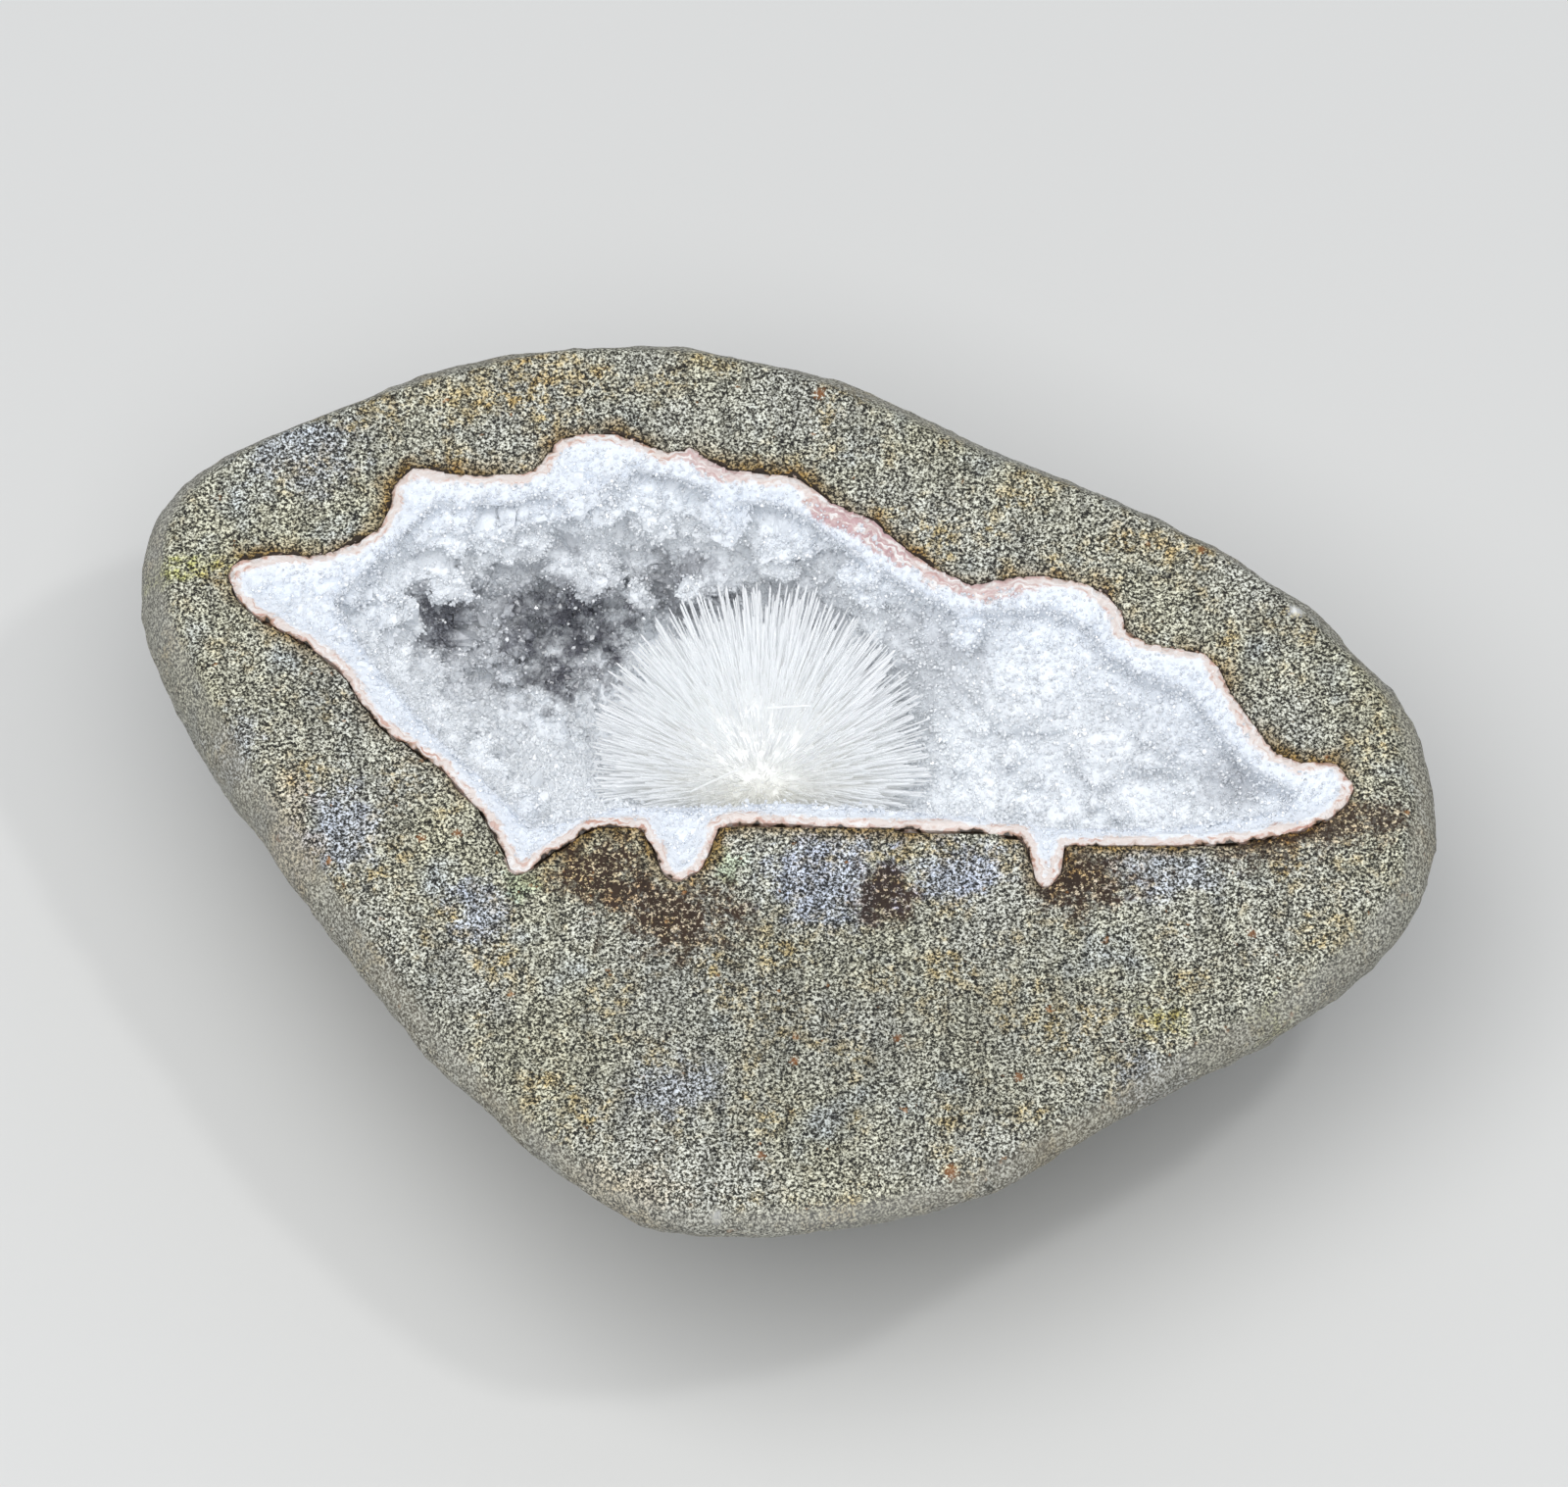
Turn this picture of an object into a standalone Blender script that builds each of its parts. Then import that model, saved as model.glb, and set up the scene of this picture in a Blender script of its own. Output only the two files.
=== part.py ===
"""A scolecite specimen: half of a basalt nodule, sawn flat, with its crystal-lined hollow facing up.

The stone lies on its back. Its sawn face is level and looks up +Z, and +Y is the photograph's up.
All lengths below are millimetres. Outlines are read from a point near the middle of the face, and
to_frame() moves them to the part's own origin, in metres: the middle of the stone's box, on its base.
Three pieces: the basalt, the quartz crust that lines the hollow, and the scolecite spray.
"""

import math
import random

import bmesh
import bpy
import numpy as np
from mathutils import Matrix, Vector, noise

# Driving dimensions of the stone
STONE_HEIGHT = 42.0
BOX_MIDDLE = Vector((0.0, 2.1, 0.0))
STONE_CENTRE = Vector((0.0, 4.0))
STONE_SEGMENTS = 56
STONE_RINGS = 18
BOULDER_RELIEF = 1.0

# Latitudes of the sphere that the nodule is shaped from
FACE_LATITUDE = math.radians(80)
WAIST_LATITUDE = math.radians(50)
BASE_LATITUDE = math.radians(-80)

# The edge of the sawn face: its crisp corner, then the skin rolls out to the widest level.
# Each pair is the value at the photograph's lower side and at its upper side.
EDGE_ROLL = (2.2, 3.4)
EDGE_DEPTH = (3.0, 8.0)
EDGE_TURN = math.radians(60)
UNDERCUT = (math.radians(31), 0.0)
BASE_SHARE = (0.33, 0.61)

# The photograph looks this far off the sawn face's normal, from the lower side
VIEW_TILT = math.radians(28)

# The stone seen from above at its widest level, clockwise from the left tip
WAIST_POINTS = [
    (-57.1, 24.8), (-56.6, 27.6), (-54.0, 31.4), (-48.0, 36.2), (-41.6, 39.0), (-31.9, 43.3),
    (-20.9, 46.2), (-14.9, 46.5), (-9.0, 46.4), (1.7, 44.2), (10.6, 40.2), (19.1, 35.8),
    (29.2, 31.1), (37.0, 26.7), (44.8, 21.4), (51.1, 14.3), (55.2, 9.4), (56.5, 2.6),
    (57.0, -1.8), (55.3, -9.9), (48.0, -18.0), (33.4, -28.0), (19.5, -37.1), (10.5, -40.7),
    (-6.3, -42.3), (-14.5, -40.1), (-23.6, -32.3), (-33.0, -21.5), (-46.9, 0.1), (-52.2, 9.8),
    (-55.6, 17.4),
]

# Where the basalt ends and the pale rind begins on the sawn face, clockwise from the left tip
RIND_POINTS = [
    (-48.4, 21.1), (-47.7, 22.3), (-45.1, 22.9), (-39.9, 23.1), (-36.9, 24.3), (-35.1, 25.7),
    (-34.2, 27.7), (-34.2, 29.7), (-31.9, 31.9), (-30.3, 31.3), (-27.3, 30.9), (-22.5, 31.0),
    (-21.2, 31.9), (-19.6, 34.5), (-17.3, 35.0), (-14.3, 34.9), (-12.2, 34.1), (-9.9, 33.2),
    (-7.8, 33.8), (-6.7, 32.6), (-4.8, 31.5), (1.3, 30.7), (4.3, 28.1), (7.7, 26.6),
    (9.9, 24.3), (12.6, 22.1), (16.4, 20.0), (19.8, 20.8), (22.9, 20.9), (25.9, 20.4),
    (28.1, 19.1), (29.5, 17.3), (29.8, 15.7), (31.6, 14.3), (36.6, 13.3), (38.0, 11.7),
    (38.8, 9.6), (41.5, 5.3), (42.9, 3.4), (45.2, 2.5), (47.9, 2.7), (49.6, 0.2),
    (49.0, -1.3), (47.5, -2.8), (44.9, -4.1), (40.0, -5.2), (34.3, -5.6), (24.4, -5.6),
    (24.1, -8.2), (23.0, -9.8), (22.0, -9.3), (21.3, -6.0), (20.7, -4.7), (16.4, -4.2),
    (9.6, -3.9), (-4.3, -3.3), (-5.6, -3.9), (-6.3, -6.0), (-7.1, -7.9), (-9.1, -9.1),
    (-10.4, -8.2), (-11.1, -6.0), (-12.3, -3.9), (-16.5, -3.8), (-20.4, -6.6), (-22.4, -8.2),
    (-23.5, -8.3), (-24.1, -6.2), (-26.0, -2.5), (-29.5, 1.9), (-34.7, 5.9), (-36.5, 8.3),
    (-38.6, 11.9), (-41.7, 14.4), (-46.0, 17.1), (-47.5, 18.9),
]

# The free inner edge of the crust on the sawn face, clockwise from the left end
MOUTH_POINTS = [
    (-39.2, 18.5), (-36.9, 21.0), (-32.2, 26.2), (-30.1, 28.5), (-24.7, 28.1), (-20.3, 29.3),
    (-17.3, 31.7), (-13.5, 31.9), (-8.4, 30.5), (-4.6, 28.5), (0.1, 28.1), (3.1, 25.9),
    (6.5, 23.0), (10.7, 20.2), (14.5, 17.9), (18.4, 17.5), (22.9, 18.0), (26.4, 16.3),
    (28.1, 13.4), (31.1, 11.5), (35.4, 9.5), (37.5, 6.2), (40.0, 2.8), (42.6, 0.8),
    (44.7, -0.2), (43.7, -1.7), (40.0, -2.7), (34.3, -3.5), (28.9, -3.8), (24.4, -3.9),
    (16.4, -2.7), (8.6, -1.9), (0.1, -1.3), (-6.7, -1.7), (-14.4, -1.7), (-19.5, -3.3),
    (-21.6, -3.7), (-23.7, -1.7), (-26.3, 1.3), (-29.7, 4.7), (-33.1, 9.1), (-35.2, 11.9),
    (-37.3, 15.3),
]

# Sections across the hollow: x, y of the lower lip, y of the deepest line, y of the upper lip, depth
HOLLOW_SECTIONS = [
    (-41.0, 17.5, 18.8, 20.0, 0.8),
    (-38.0, 15.5, 18.8, 21.0, 3.0),
    (-34.0, 10.5, 19.5, 24.5, 9.0),
    (-30.0, 5.0, 20.5, 28.2, 15.0),
    (-26.0, 1.0, 22.0, 28.5, 20.0),
    (-20.0, -3.5, 24.0, 30.0, 22.5),
    (-14.0, -2.0, 24.0, 32.0, 23.5),
    (-8.0, -1.7, 22.5, 30.8, 23.5),
    (-2.0, -1.4, 21.0, 28.3, 23.0),
    (4.0, -1.5, 17.0, 25.5, 20.5),
    (10.0, -2.0, 11.0, 21.0, 17.5),
    (16.0, -2.8, 4.0, 17.6, 15.0),
    (22.0, -3.7, 0.5, 18.0, 13.5),
    (28.0, -3.9, -0.4, 14.0, 12.5),
    (34.0, -3.5, -0.5, 10.2, 10.5),
    (39.0, -2.9, -0.6, 4.4, 7.0),
    (43.0, -1.9, -0.7, 1.0, 3.0),
    (46.0, -1.2, -0.5, 0.2, 0.8),
]
LIP_DEPTH = 1.7
LOWER_SLOPE_POWER = 0.9
GRID_LOW = (-53.0, -14.0)
GRID_HIGH = (54.0, 39.0)
INNER_GRID = (46, 23)
OUTER_GRID = (22, 11)

# The crust keeps this thickness behind the hollow's surface, and a gap to the basalt
CRUST_SIDE = 2.2
CRUST_BACK = 2.0
CONTACT_GAP = 0.3
LOBE_DEPTH = 4.0

# Rounded crystal masses: place in the photograph's view, right and up of the face's middle,
# then the radius across and along the wall's normal, and how far the middle stands out
LUMPS = [
    (-17.6, 19.8, 3.1, 3.4, 0.5),
    (-16.9, 25.6, 4.6, 2.6, 0.1),
    (-23.6, 22.6, 4.2, 2.8, 0.1),
    (-29.0, 22.6, 3.4, 2.4, 0.0),
    (-30.1, 18.4, 2.2, 2.6, 0.4),
    (-34.9, 16.3, 2.2, 2.4, 0.4),
    (-25.4, 13.2, 2.8, 3.2, 0.4),
    (-12.4, 18.6, 1.7, 3.0, 0.4),
    (-11.8, 24.4, 3.5, 2.2, 0.1),
    (-4.3, 24.2, 2.2, 2.6, 0.4),
    (-6.7, 18.4, 2.3, 2.4, 0.3),
    (0.4, 20.8, 3.0, 1.8, 0.1),
    (7.4, 18.2, 2.6, 1.9, 0.2),
    (16.2, 13.9, 1.4, 2.2, 0.4),
    (21.3, 8.6, 4.8, 1.8, 0.0),
    (34.1, 3.9, 3.4, 1.6, 0.0),
    (27.6, 3.0, 3.0, 1.6, 0.0),
    (-29.7, 5.6, 3.6, 1.6, 0.0),
    (-20.6, 7.4, 3.2, 1.8, 0.1),
]
LUMP_ROUGHNESS = 0.4

# Quartz points large enough to see singly
QUARTZ_POINTS = 54
QUARTZ_RADIUS = (0.55, 1.15)
QUARTZ_LENGTH = (1.5, 2.9)
QUARTZ_SEED = 12
POINT_CLEARANCE = 3.2

# The scolecite spray is rooted in the lower wall and radiates up and outwards
SPRAY_ROOT = Vector((-1.9, 8.4, STONE_HEIGHT - 15.0))
SPRAY_AXIS = Vector((0.0, 0.55, 0.84)).normalized()
NEEDLE_LENGTH_ASIDE = 14.0
NEEDLE_LENGTH_AHEAD = 17.6
SPRAY_CORE_RADIUS = 9.4
NEEDLE_BASE_SHARE = 0.42
NEEDLE_TIP_SHARE = 0.35
SPRAY_REACH_COSINE = 0.02
WALL_CLEARANCE = 0.9
SPRAY_SEED = 5


def mm(value):
    """Millimetres to metres."""
    return value * 0.001


def to_frame():
    """The step from the readings, in millimetres, to the part's own frame, in metres."""
    return Matrix.Scale(mm(1.0), 4) @ Matrix.Translation(-BOX_MIDDLE)


def clear_scene():
    for item in list(bpy.data.objects):
        bpy.data.objects.remove(item, do_unlink=True)


def new_collection(name, shown):
    collection = bpy.data.collections.new(name)
    collection.hide_render = not shown
    bpy.context.scene.collection.children.link(collection)
    return collection


def finish_material(name, colour, roughness, metallic=0.0):
    material = bpy.data.materials.new(name)
    material.use_nodes = True
    shader = material.node_tree.nodes["Principled BSDF"]
    shader.inputs["Base Color"].default_value = (*colour, 1.0)
    shader.inputs["Roughness"].default_value = roughness
    shader.inputs["Metallic"].default_value = metallic
    material.diffuse_color = (*colour, 1.0)
    return material


def object_from_bmesh(bm, name, collection):
    """Puts a bmesh of readings in the part's frame and in the scene."""
    bmesh.ops.transform(bm, matrix=to_frame(), verts=bm.verts)
    bmesh.ops.recalc_face_normals(bm, faces=bm.faces)
    mesh = bpy.data.meshes.new(name)
    bm.to_mesh(mesh)
    bm.free()
    item = bpy.data.objects.new(name, mesh)
    collection.objects.link(item)
    return item


def mark_as_cutter(item):
    item.hide_render = True
    item.display_type = "WIRE"
    return item


def boolean(item, operation, other):
    modifier = item.modifiers.new(f"{operation.lower()} {other.name}", "BOOLEAN")
    modifier.solver = "EXACT"
    modifier.operation = operation
    if isinstance(other, bpy.types.Collection):
        modifier.operand_type = "COLLECTION"
        modifier.collection = other
    else:
        modifier.object = other
    return modifier


def keep_largest_piece(item):
    """Makes the modifiers' result the object's own mesh, without the crumbs that the cuts leave."""
    graph = bpy.context.evaluated_depsgraph_get()
    mesh = bpy.data.meshes.new_from_object(item.evaluated_get(graph))
    item.modifiers.clear()
    item.data = mesh
    bm = bmesh.new()
    bm.from_mesh(mesh)
    unseen = set(bm.faces)
    pieces = []
    while unseen:
        piece = {unseen.pop()}
        edge_of_piece = list(piece)
        while edge_of_piece:
            face = edge_of_piece.pop()
            near = {other for edge in face.edges for other in edge.link_faces} & unseen
            unseen -= near
            piece |= near
            edge_of_piece.extend(near)
        pieces.append(piece)
    pieces.sort(key=lambda piece: sum(face.calc_area() for face in piece))
    crumbs = [face for piece in pieces[:-1] for face in piece]
    bmesh.ops.delete(bm, geom=crumbs, context="FACES")
    bm.to_mesh(mesh)
    bm.free()


def closed_spline(points, steps):
    """A smooth closed loop through the points, as Catmull and Rom draw it."""
    count = len(points)
    loop = []
    for i in range(count):
        before, start, end, after = (Vector(points[(i + k) % count]) for k in (-1, 0, 1, 2))
        for step in range(steps):
            t = step / steps
            point = 2 * start + (end - before) * t
            point += (2 * before - 5 * start + 4 * end - after) * t**2
            point += (3 * start - before - 3 * end + after) * t**3
            loop.append(point / 2)
    return loop


def inset_loop(points, distance):
    """Moves each corner of a clockwise loop inwards by the distance."""
    count = len(points)
    moved = []
    for i in range(count):
        before, here, after = (Vector(points[(i + k) % count]) for k in (-1, 0, 1))
        first = (here - before).normalized()
        second = (after - here).normalized()
        inward = Vector((first.y + second.y, -first.x - second.x)).normalized()
        half_turn = max(0.6, Vector((first.y, -first.x)).dot(inward))
        moved.append(here + inward * distance / half_turn)
    return moved


# The basalt nodule

WAIST_LOOP = closed_spline(WAIST_POINTS, 8)
WAIST_ANGLES = [math.atan2(*(p - STONE_CENTRE).yx) for p in WAIST_LOOP]
WAIST_RADII = [(p - STONE_CENTRE).length for p in WAIST_LOOP]
WAIST_ORDER = np.argsort(WAIST_ANGLES)


def waist_radius(angle):
    angles = np.array(WAIST_ANGLES)[WAIST_ORDER]
    radii = np.array(WAIST_RADII)[WAIST_ORDER]
    return float(np.interp(angle, angles, radii, period=2 * math.pi))


def around(pair, angle):
    """A value that changes smoothly from the stone's lower side to its upper side."""
    return pair[0] + (pair[1] - pair[0]) * (1 + math.sin(angle)) / 2


def boulder_point(angle, latitude):
    """A point of the nodule's skin: sawn face, rolled edge, widest level, belly and flat base."""
    radius = waist_radius(angle)
    depth = around(EDGE_DEPTH, angle)
    if latitude >= WAIST_LATITUDE:
        turn = EDGE_TURN * min(1.0, (latitude - WAIST_LATITUDE) / (FACE_LATITUDE - WAIST_LATITUDE))
        reach = radius - around(EDGE_ROLL, angle) * (1 - math.cos(turn)) / (1 - math.cos(EDGE_TURN))
        level = STONE_HEIGHT - depth * (1 - math.sin(turn) / math.sin(EDGE_TURN))
    else:
        down = min(1.0, (WAIST_LATITUDE - latitude) / (WAIST_LATITUDE - BASE_LATITUDE))
        level = (STONE_HEIGHT - depth) * (1 - down)
        lean = math.tan(around(UNDERCUT, angle)) * (STONE_HEIGHT - depth) / radius
        share = 1 - lean * down - (1 - around(BASE_SHARE, angle) - lean) * down**3
        spot = Vector((math.cos(angle), math.sin(angle), 1.5 * down))
        reach = radius * share + BOULDER_RELIEF * math.sin(down * math.pi) * noise.noise(spot * 2.3)
    if abs(latitude) > FACE_LATITUDE + 0.01:
        reach = 0.0
    return Vector((reach * math.cos(angle), reach * math.sin(angle) + STONE_CENTRE.y, level))


def build_nodule(collection):
    bm = bmesh.new()
    bmesh.ops.create_uvsphere(bm, u_segments=STONE_SEGMENTS, v_segments=STONE_RINGS, radius=1.0)
    for vert in bm.verts:
        latitude = math.asin(max(-1.0, min(1.0, vert.co.z)))
        vert.co = boulder_point(math.atan2(vert.co.y, vert.co.x), latitude)
    return object_from_bmesh(bm, "basalt_matrix", collection)


# The hollow: a heightfield of depth below the sawn face

SECTION_TABLE = np.array(HOLLOW_SECTIONS)


def hollow_depth(x, y):
    """Depth of the crust's surface below the sawn face, from the section across x."""
    low, deep, high, depth = (float(np.interp(x, SECTION_TABLE[:, 0], SECTION_TABLE[:, k])) for k in (1, 2, 3, 4))
    if y < deep:
        share = max(0.0, (y - low) / (deep - low)) ** LOWER_SLOPE_POWER
    else:
        share = max(0.0, (high - y) / (high - deep))
    wave = 0.7 * noise.noise(Vector((x * 0.16, y * 0.16, 0.0)))
    return LIP_DEPTH + (depth - LIP_DEPTH) * math.sin(min(1.0, share) * math.pi / 2) + wave * share


def deepest_around(depth_at, x, y, distance):
    """The largest depth at a place and on a small ring about it."""
    ring = [(distance * math.cos(k * math.pi / 4), distance * math.sin(k * math.pi / 4)) for k in range(8)]
    return max(depth_at(x + dx, y + dy) for dx, dy in [(0, 0), *ring])


def crust_back_depth(x, y):
    """The back of the crust, one thickness behind its surface."""
    return max(LOBE_DEPTH, deepest_around(hollow_depth, x, y, CRUST_SIDE) + CRUST_BACK)


def basalt_wall_depth(x, y):
    return deepest_around(crust_back_depth, x, y, 2 * CONTACT_GAP) + CONTACT_GAP


def spray_floor_depth(x, y):
    return hollow_depth(x, y) - WALL_CLEARANCE


def space_above(name, depth_at, cells, top, collection):
    """Everything above a heightfield, up to a level top: a grid moved to its depth, then extruded."""
    bm = bmesh.new()
    bmesh.ops.create_grid(bm, x_segments=cells[0], y_segments=cells[1], size=0.5)
    bmesh.ops.triangulate(bm, faces=bm.faces[:], quad_method="FIXED")
    for vert in bm.verts:
        x = GRID_LOW[0] + (vert.co.x + 0.5) * (GRID_HIGH[0] - GRID_LOW[0])
        y = GRID_LOW[1] + (vert.co.y + 0.5) * (GRID_HIGH[1] - GRID_LOW[1])
        vert.co = Vector((x, y, STONE_HEIGHT - depth_at(x, y)))
    raised = bmesh.ops.extrude_face_region(bm, geom=bm.faces[:])
    for vert in [g for g in raised["geom"] if isinstance(g, bmesh.types.BMVert)]:
        vert.co.z = top
    return mark_as_cutter(object_from_bmesh(bm, name, collection))


def prism(name, points, bottom, top, collection):
    """A flat outline drawn as a 2D curve, given its height, and made a mesh."""
    curve = bpy.data.curves.new(name, "CURVE")
    curve.dimensions = "2D"
    curve.fill_mode = "BOTH"
    curve.extrude = mm(top - bottom) / 2
    spline = curve.splines.new("POLY")
    spline.points.add(len(points) - 1)
    for spot, point in zip(spline.points, points):
        spot.co = (mm(point[0]), mm(point[1]), 0.0, 1.0)
    spline.use_cyclic_u = True
    drawn = bpy.data.objects.new(name + " outline", curve)
    collection.objects.link(drawn)
    drawn.location.z = mm(bottom + top) / 2
    bpy.context.view_layer.update()
    graph = bpy.context.evaluated_depsgraph_get()
    mesh = bpy.data.meshes.new_from_object(drawn.evaluated_get(graph))
    mesh.transform(Matrix.Translation(mm(-BOX_MIDDLE)) @ drawn.matrix_world)
    bpy.data.objects.remove(drawn, do_unlink=True)
    bm = bmesh.new()
    bm.from_mesh(mesh)
    bmesh.ops.remove_doubles(bm, verts=bm.verts, dist=1e-6)
    bmesh.ops.recalc_face_normals(bm, faces=bm.faces)
    bm.to_mesh(mesh)
    bm.free()
    item = bpy.data.objects.new(name, mesh)
    collection.objects.link(item)
    return item


def hollow_normal(x, y):
    step = 0.8
    slope_x = (hollow_depth(x + step, y) - hollow_depth(x - step, y)) / (2 * step)
    slope_y = (hollow_depth(x, y + step) - hollow_depth(x, y - step)) / (2 * step)
    return Vector((slope_x, slope_y, 1.0)).normalized()


# What stands out of the crust: rounded masses and single quartz points

def seen_place(right, up):
    """The spot of the hollow's surface that the photograph's view shows at this place."""
    level = 0.0
    while True:
        y = (up + level * math.sin(VIEW_TILT)) / math.cos(VIEW_TILT)
        if level >= hollow_depth(right, y):
            return Vector((right, y, STONE_HEIGHT - level))
        level += 0.1


def build_lump(index, lump, collection):
    right, up, across, along, standing = lump
    place = seen_place(right, up)
    normal = hollow_normal(place.x, place.y)
    turn = normal.to_track_quat("Z", "Y").to_matrix()
    bm = bmesh.new()
    bmesh.ops.create_icosphere(bm, subdivisions=2, radius=1.0)
    for vert in bm.verts:
        bulge = 1 + LUMP_ROUGHNESS * noise.noise(vert.co * 2.0 + Vector((index * 7.3, 0, 0)))
        local = Vector((vert.co.x * across, vert.co.y * across, vert.co.z * along)) * bulge
        vert.co = place + normal * along * standing + turn @ local
    return mark_as_cutter(object_from_bmesh(bm, f"lump {index:02d}", collection))


def build_quartz_point(index, place, direction, radius, length, collection):
    """A six-sided prism that ends in a six-sided point, rooted 1 mm inside the crust."""
    bm = bmesh.new()
    turn = Matrix.Translation(place) @ direction.to_track_quat("Z", "Y").to_matrix().to_4x4()
    bmesh.ops.create_cone(
        bm, cap_ends=True, segments=6, radius1=radius, radius2=radius, depth=length, matrix=turn
    )
    tip = max(bm.faces, key=lambda face: (face.calc_center_median() - place).dot(direction))
    pointed = bmesh.ops.poke(bm, faces=[tip])
    for vert in pointed["verts"]:
        vert.co += direction * radius * 1.25
    return mark_as_cutter(object_from_bmesh(bm, f"quartz point {index:02d}", collection))


def inside_loop(x, y, loop):
    """Whether a point lies inside a closed loop, by counting the edges to its right."""
    inside = False
    for (x0, y0), (x1, y1) in zip(loop, loop[1:] + loop[:1]):
        if (y0 > y) != (y1 > y) and x < x0 + (y - y0) * (x1 - x0) / (y1 - y0):
            inside = not inside
    return inside


def scatter_quartz_points(collection):
    chance = random.Random(QUARTZ_SEED)
    field = inset_loop(MOUTH_POINTS, 1.6)
    made = 0
    while made < QUARTZ_POINTS:
        x = chance.uniform(GRID_LOW[0], GRID_HIGH[0])
        y = chance.uniform(GRID_LOW[1], GRID_HIGH[1])
        if not inside_loop(x, y, [tuple(p) for p in field]):
            continue
        place = Vector((x, y, STONE_HEIGHT - hollow_depth(x, y)))
        if (place - SPRAY_ROOT).length < needle_length(place - SPRAY_ROOT) + POINT_CLEARANCE:
            continue
        wander = Vector([chance.uniform(-0.35, 0.35) for _ in range(3)])
        direction = (hollow_normal(x, y) + wander).normalized()
        build_quartz_point(
            made,
            place,
            direction,
            chance.uniform(*QUARTZ_RADIUS),
            chance.uniform(*QUARTZ_LENGTH),
            collection,
        )
        made += 1


# The scolecite spray: a ball of facets, each drawn out into a needle

def needle_length(direction):
    """Needles along the spray's axis are longer than those at its foot."""
    ahead = max(0.0, direction.normalized().dot(SPRAY_AXIS))
    return NEEDLE_LENGTH_ASIDE + (NEEDLE_LENGTH_AHEAD - NEEDLE_LENGTH_ASIDE) * ahead


def lump_spheres():
    """A sphere round each rounded mass, with the needles' clearance."""
    spheres = []
    for right, up, across, along, standing in LUMPS:
        place = seen_place(right, up)
        middle = place + hollow_normal(place.x, place.y) * along * standing
        spheres.append((middle, max(across, along) * (1 + LUMP_ROUGHNESS / 2) + WALL_CLEARANCE))
    return spheres


def room_along(direction, spheres):
    """How far a needle can run from the spray's root before it meets the crust or the sawn face."""
    reach = SPRAY_CORE_RADIUS
    while reach < needle_length(direction):
        spot = SPRAY_ROOT + direction * (reach + WALL_CLEARANCE)
        depth = STONE_HEIGHT - spot.z
        clear = inside_loop(spot.x, spot.y, MOUTH_POINTS) or depth > LIP_DEPTH + 2
        struck = any((spot - middle).length < radius for middle, radius in spheres)
        if depth > spray_floor_depth(spot.x, spot.y) or depth < 0.4 or struck or not clear:
            break
        reach += 0.2
    return reach


def build_spray(collection):
    chance = random.Random(SPRAY_SEED)
    spheres = lump_spheres()
    bm = bmesh.new()
    bmesh.ops.create_icosphere(bm, subdivisions=3, radius=SPRAY_CORE_RADIUS)
    for vert in bm.verts:
        vert.co *= 1 + chance.uniform(-0.03, 0.03)
    for face in bm.faces[:]:
        direction = face.calc_center_median().normalized()
        if direction.dot(SPRAY_AXIS) < SPRAY_REACH_COSINE:
            continue
        reach = room_along(direction, spheres) * chance.uniform(0.92, 1.0)
        if reach < SPRAY_CORE_RADIUS + 1.5:
            continue
        narrow_face(bm, face, NEEDLE_BASE_SHARE)
        drawn = bmesh.ops.extrude_discrete_faces(bm, faces=[face])["faces"][0]
        middle = drawn.calc_center_median()
        for vert in drawn.verts:
            vert.co = direction * reach + (vert.co - middle) * NEEDLE_TIP_SHARE
    for vert in bm.verts:
        vert.co += SPRAY_ROOT
    return object_from_bmesh(bm, "scolecite_spray", collection)


def narrow_face(bm, face, share):
    """Insets a face until its sides are this share of what they were."""
    middle = face.calc_center_median()
    bmesh.ops.inset_individual(bm, faces=[face], thickness=0.2, use_even_offset=True)
    for vert in face.verts:
        vert.co = middle + (vert.co - middle) * share


def main():
    clear_scene()
    parts = new_collection("Scolecite specimen", True)
    cutters = new_collection("Cutters", False)
    details = new_collection("Crust details", False)

    basalt = build_nodule(parts)
    basalt.data.materials.append(finish_material("basalt", (0.30, 0.30, 0.27), 0.85))
    pocket = prism("pocket", RIND_POINTS, STONE_HEIGHT - 40, STONE_HEIGHT + 4, cutters)
    mark_as_cutter(pocket)
    pocket_floor = space_above("pocket floor", basalt_wall_depth, OUTER_GRID, STONE_HEIGHT + 8, cutters)
    boolean(pocket, "INTERSECT", pocket_floor)
    boolean(basalt, "DIFFERENCE", pocket)

    for index, lump in enumerate(LUMPS):
        build_lump(index, lump, details)
    scatter_quartz_points(details)
    hollow = prism("hollow", MOUTH_POINTS, STONE_HEIGHT - 40, STONE_HEIGHT + 4, cutters)
    mark_as_cutter(hollow)
    hollow_floor = space_above("hollow floor", hollow_depth, INNER_GRID, STONE_HEIGHT + 8, cutters)
    boolean(hollow, "INTERSECT", hollow_floor)
    boolean(hollow, "DIFFERENCE", details)
    keep_largest_piece(hollow)

    crust_outline = inset_loop(RIND_POINTS, CONTACT_GAP)
    crust = prism("quartz_crust", crust_outline, STONE_HEIGHT - 40, STONE_HEIGHT, parts)
    crust.data.materials.append(finish_material("quartz", (0.86, 0.87, 0.89), 0.25))
    crust_back = space_above("crust back", crust_back_depth, OUTER_GRID, STONE_HEIGHT + 8, cutters)
    boolean(crust, "INTERSECT", crust_back)
    boolean(crust, "DIFFERENCE", hollow)

    spray = build_spray(parts)
    spray.data.materials.append(finish_material("scolecite", (0.93, 0.93, 0.92), 0.4))
    room = prism("spray room", inset_loop(MOUTH_POINTS, 0.5), STONE_HEIGHT - 40, STONE_HEIGHT, cutters)
    mark_as_cutter(room)
    spray_floor = space_above("spray floor", spray_floor_depth, INNER_GRID, STONE_HEIGHT + 8, cutters)
    boolean(room, "INTERSECT", spray_floor)
    boolean(spray, "INTERSECT", room)


main()
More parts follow.
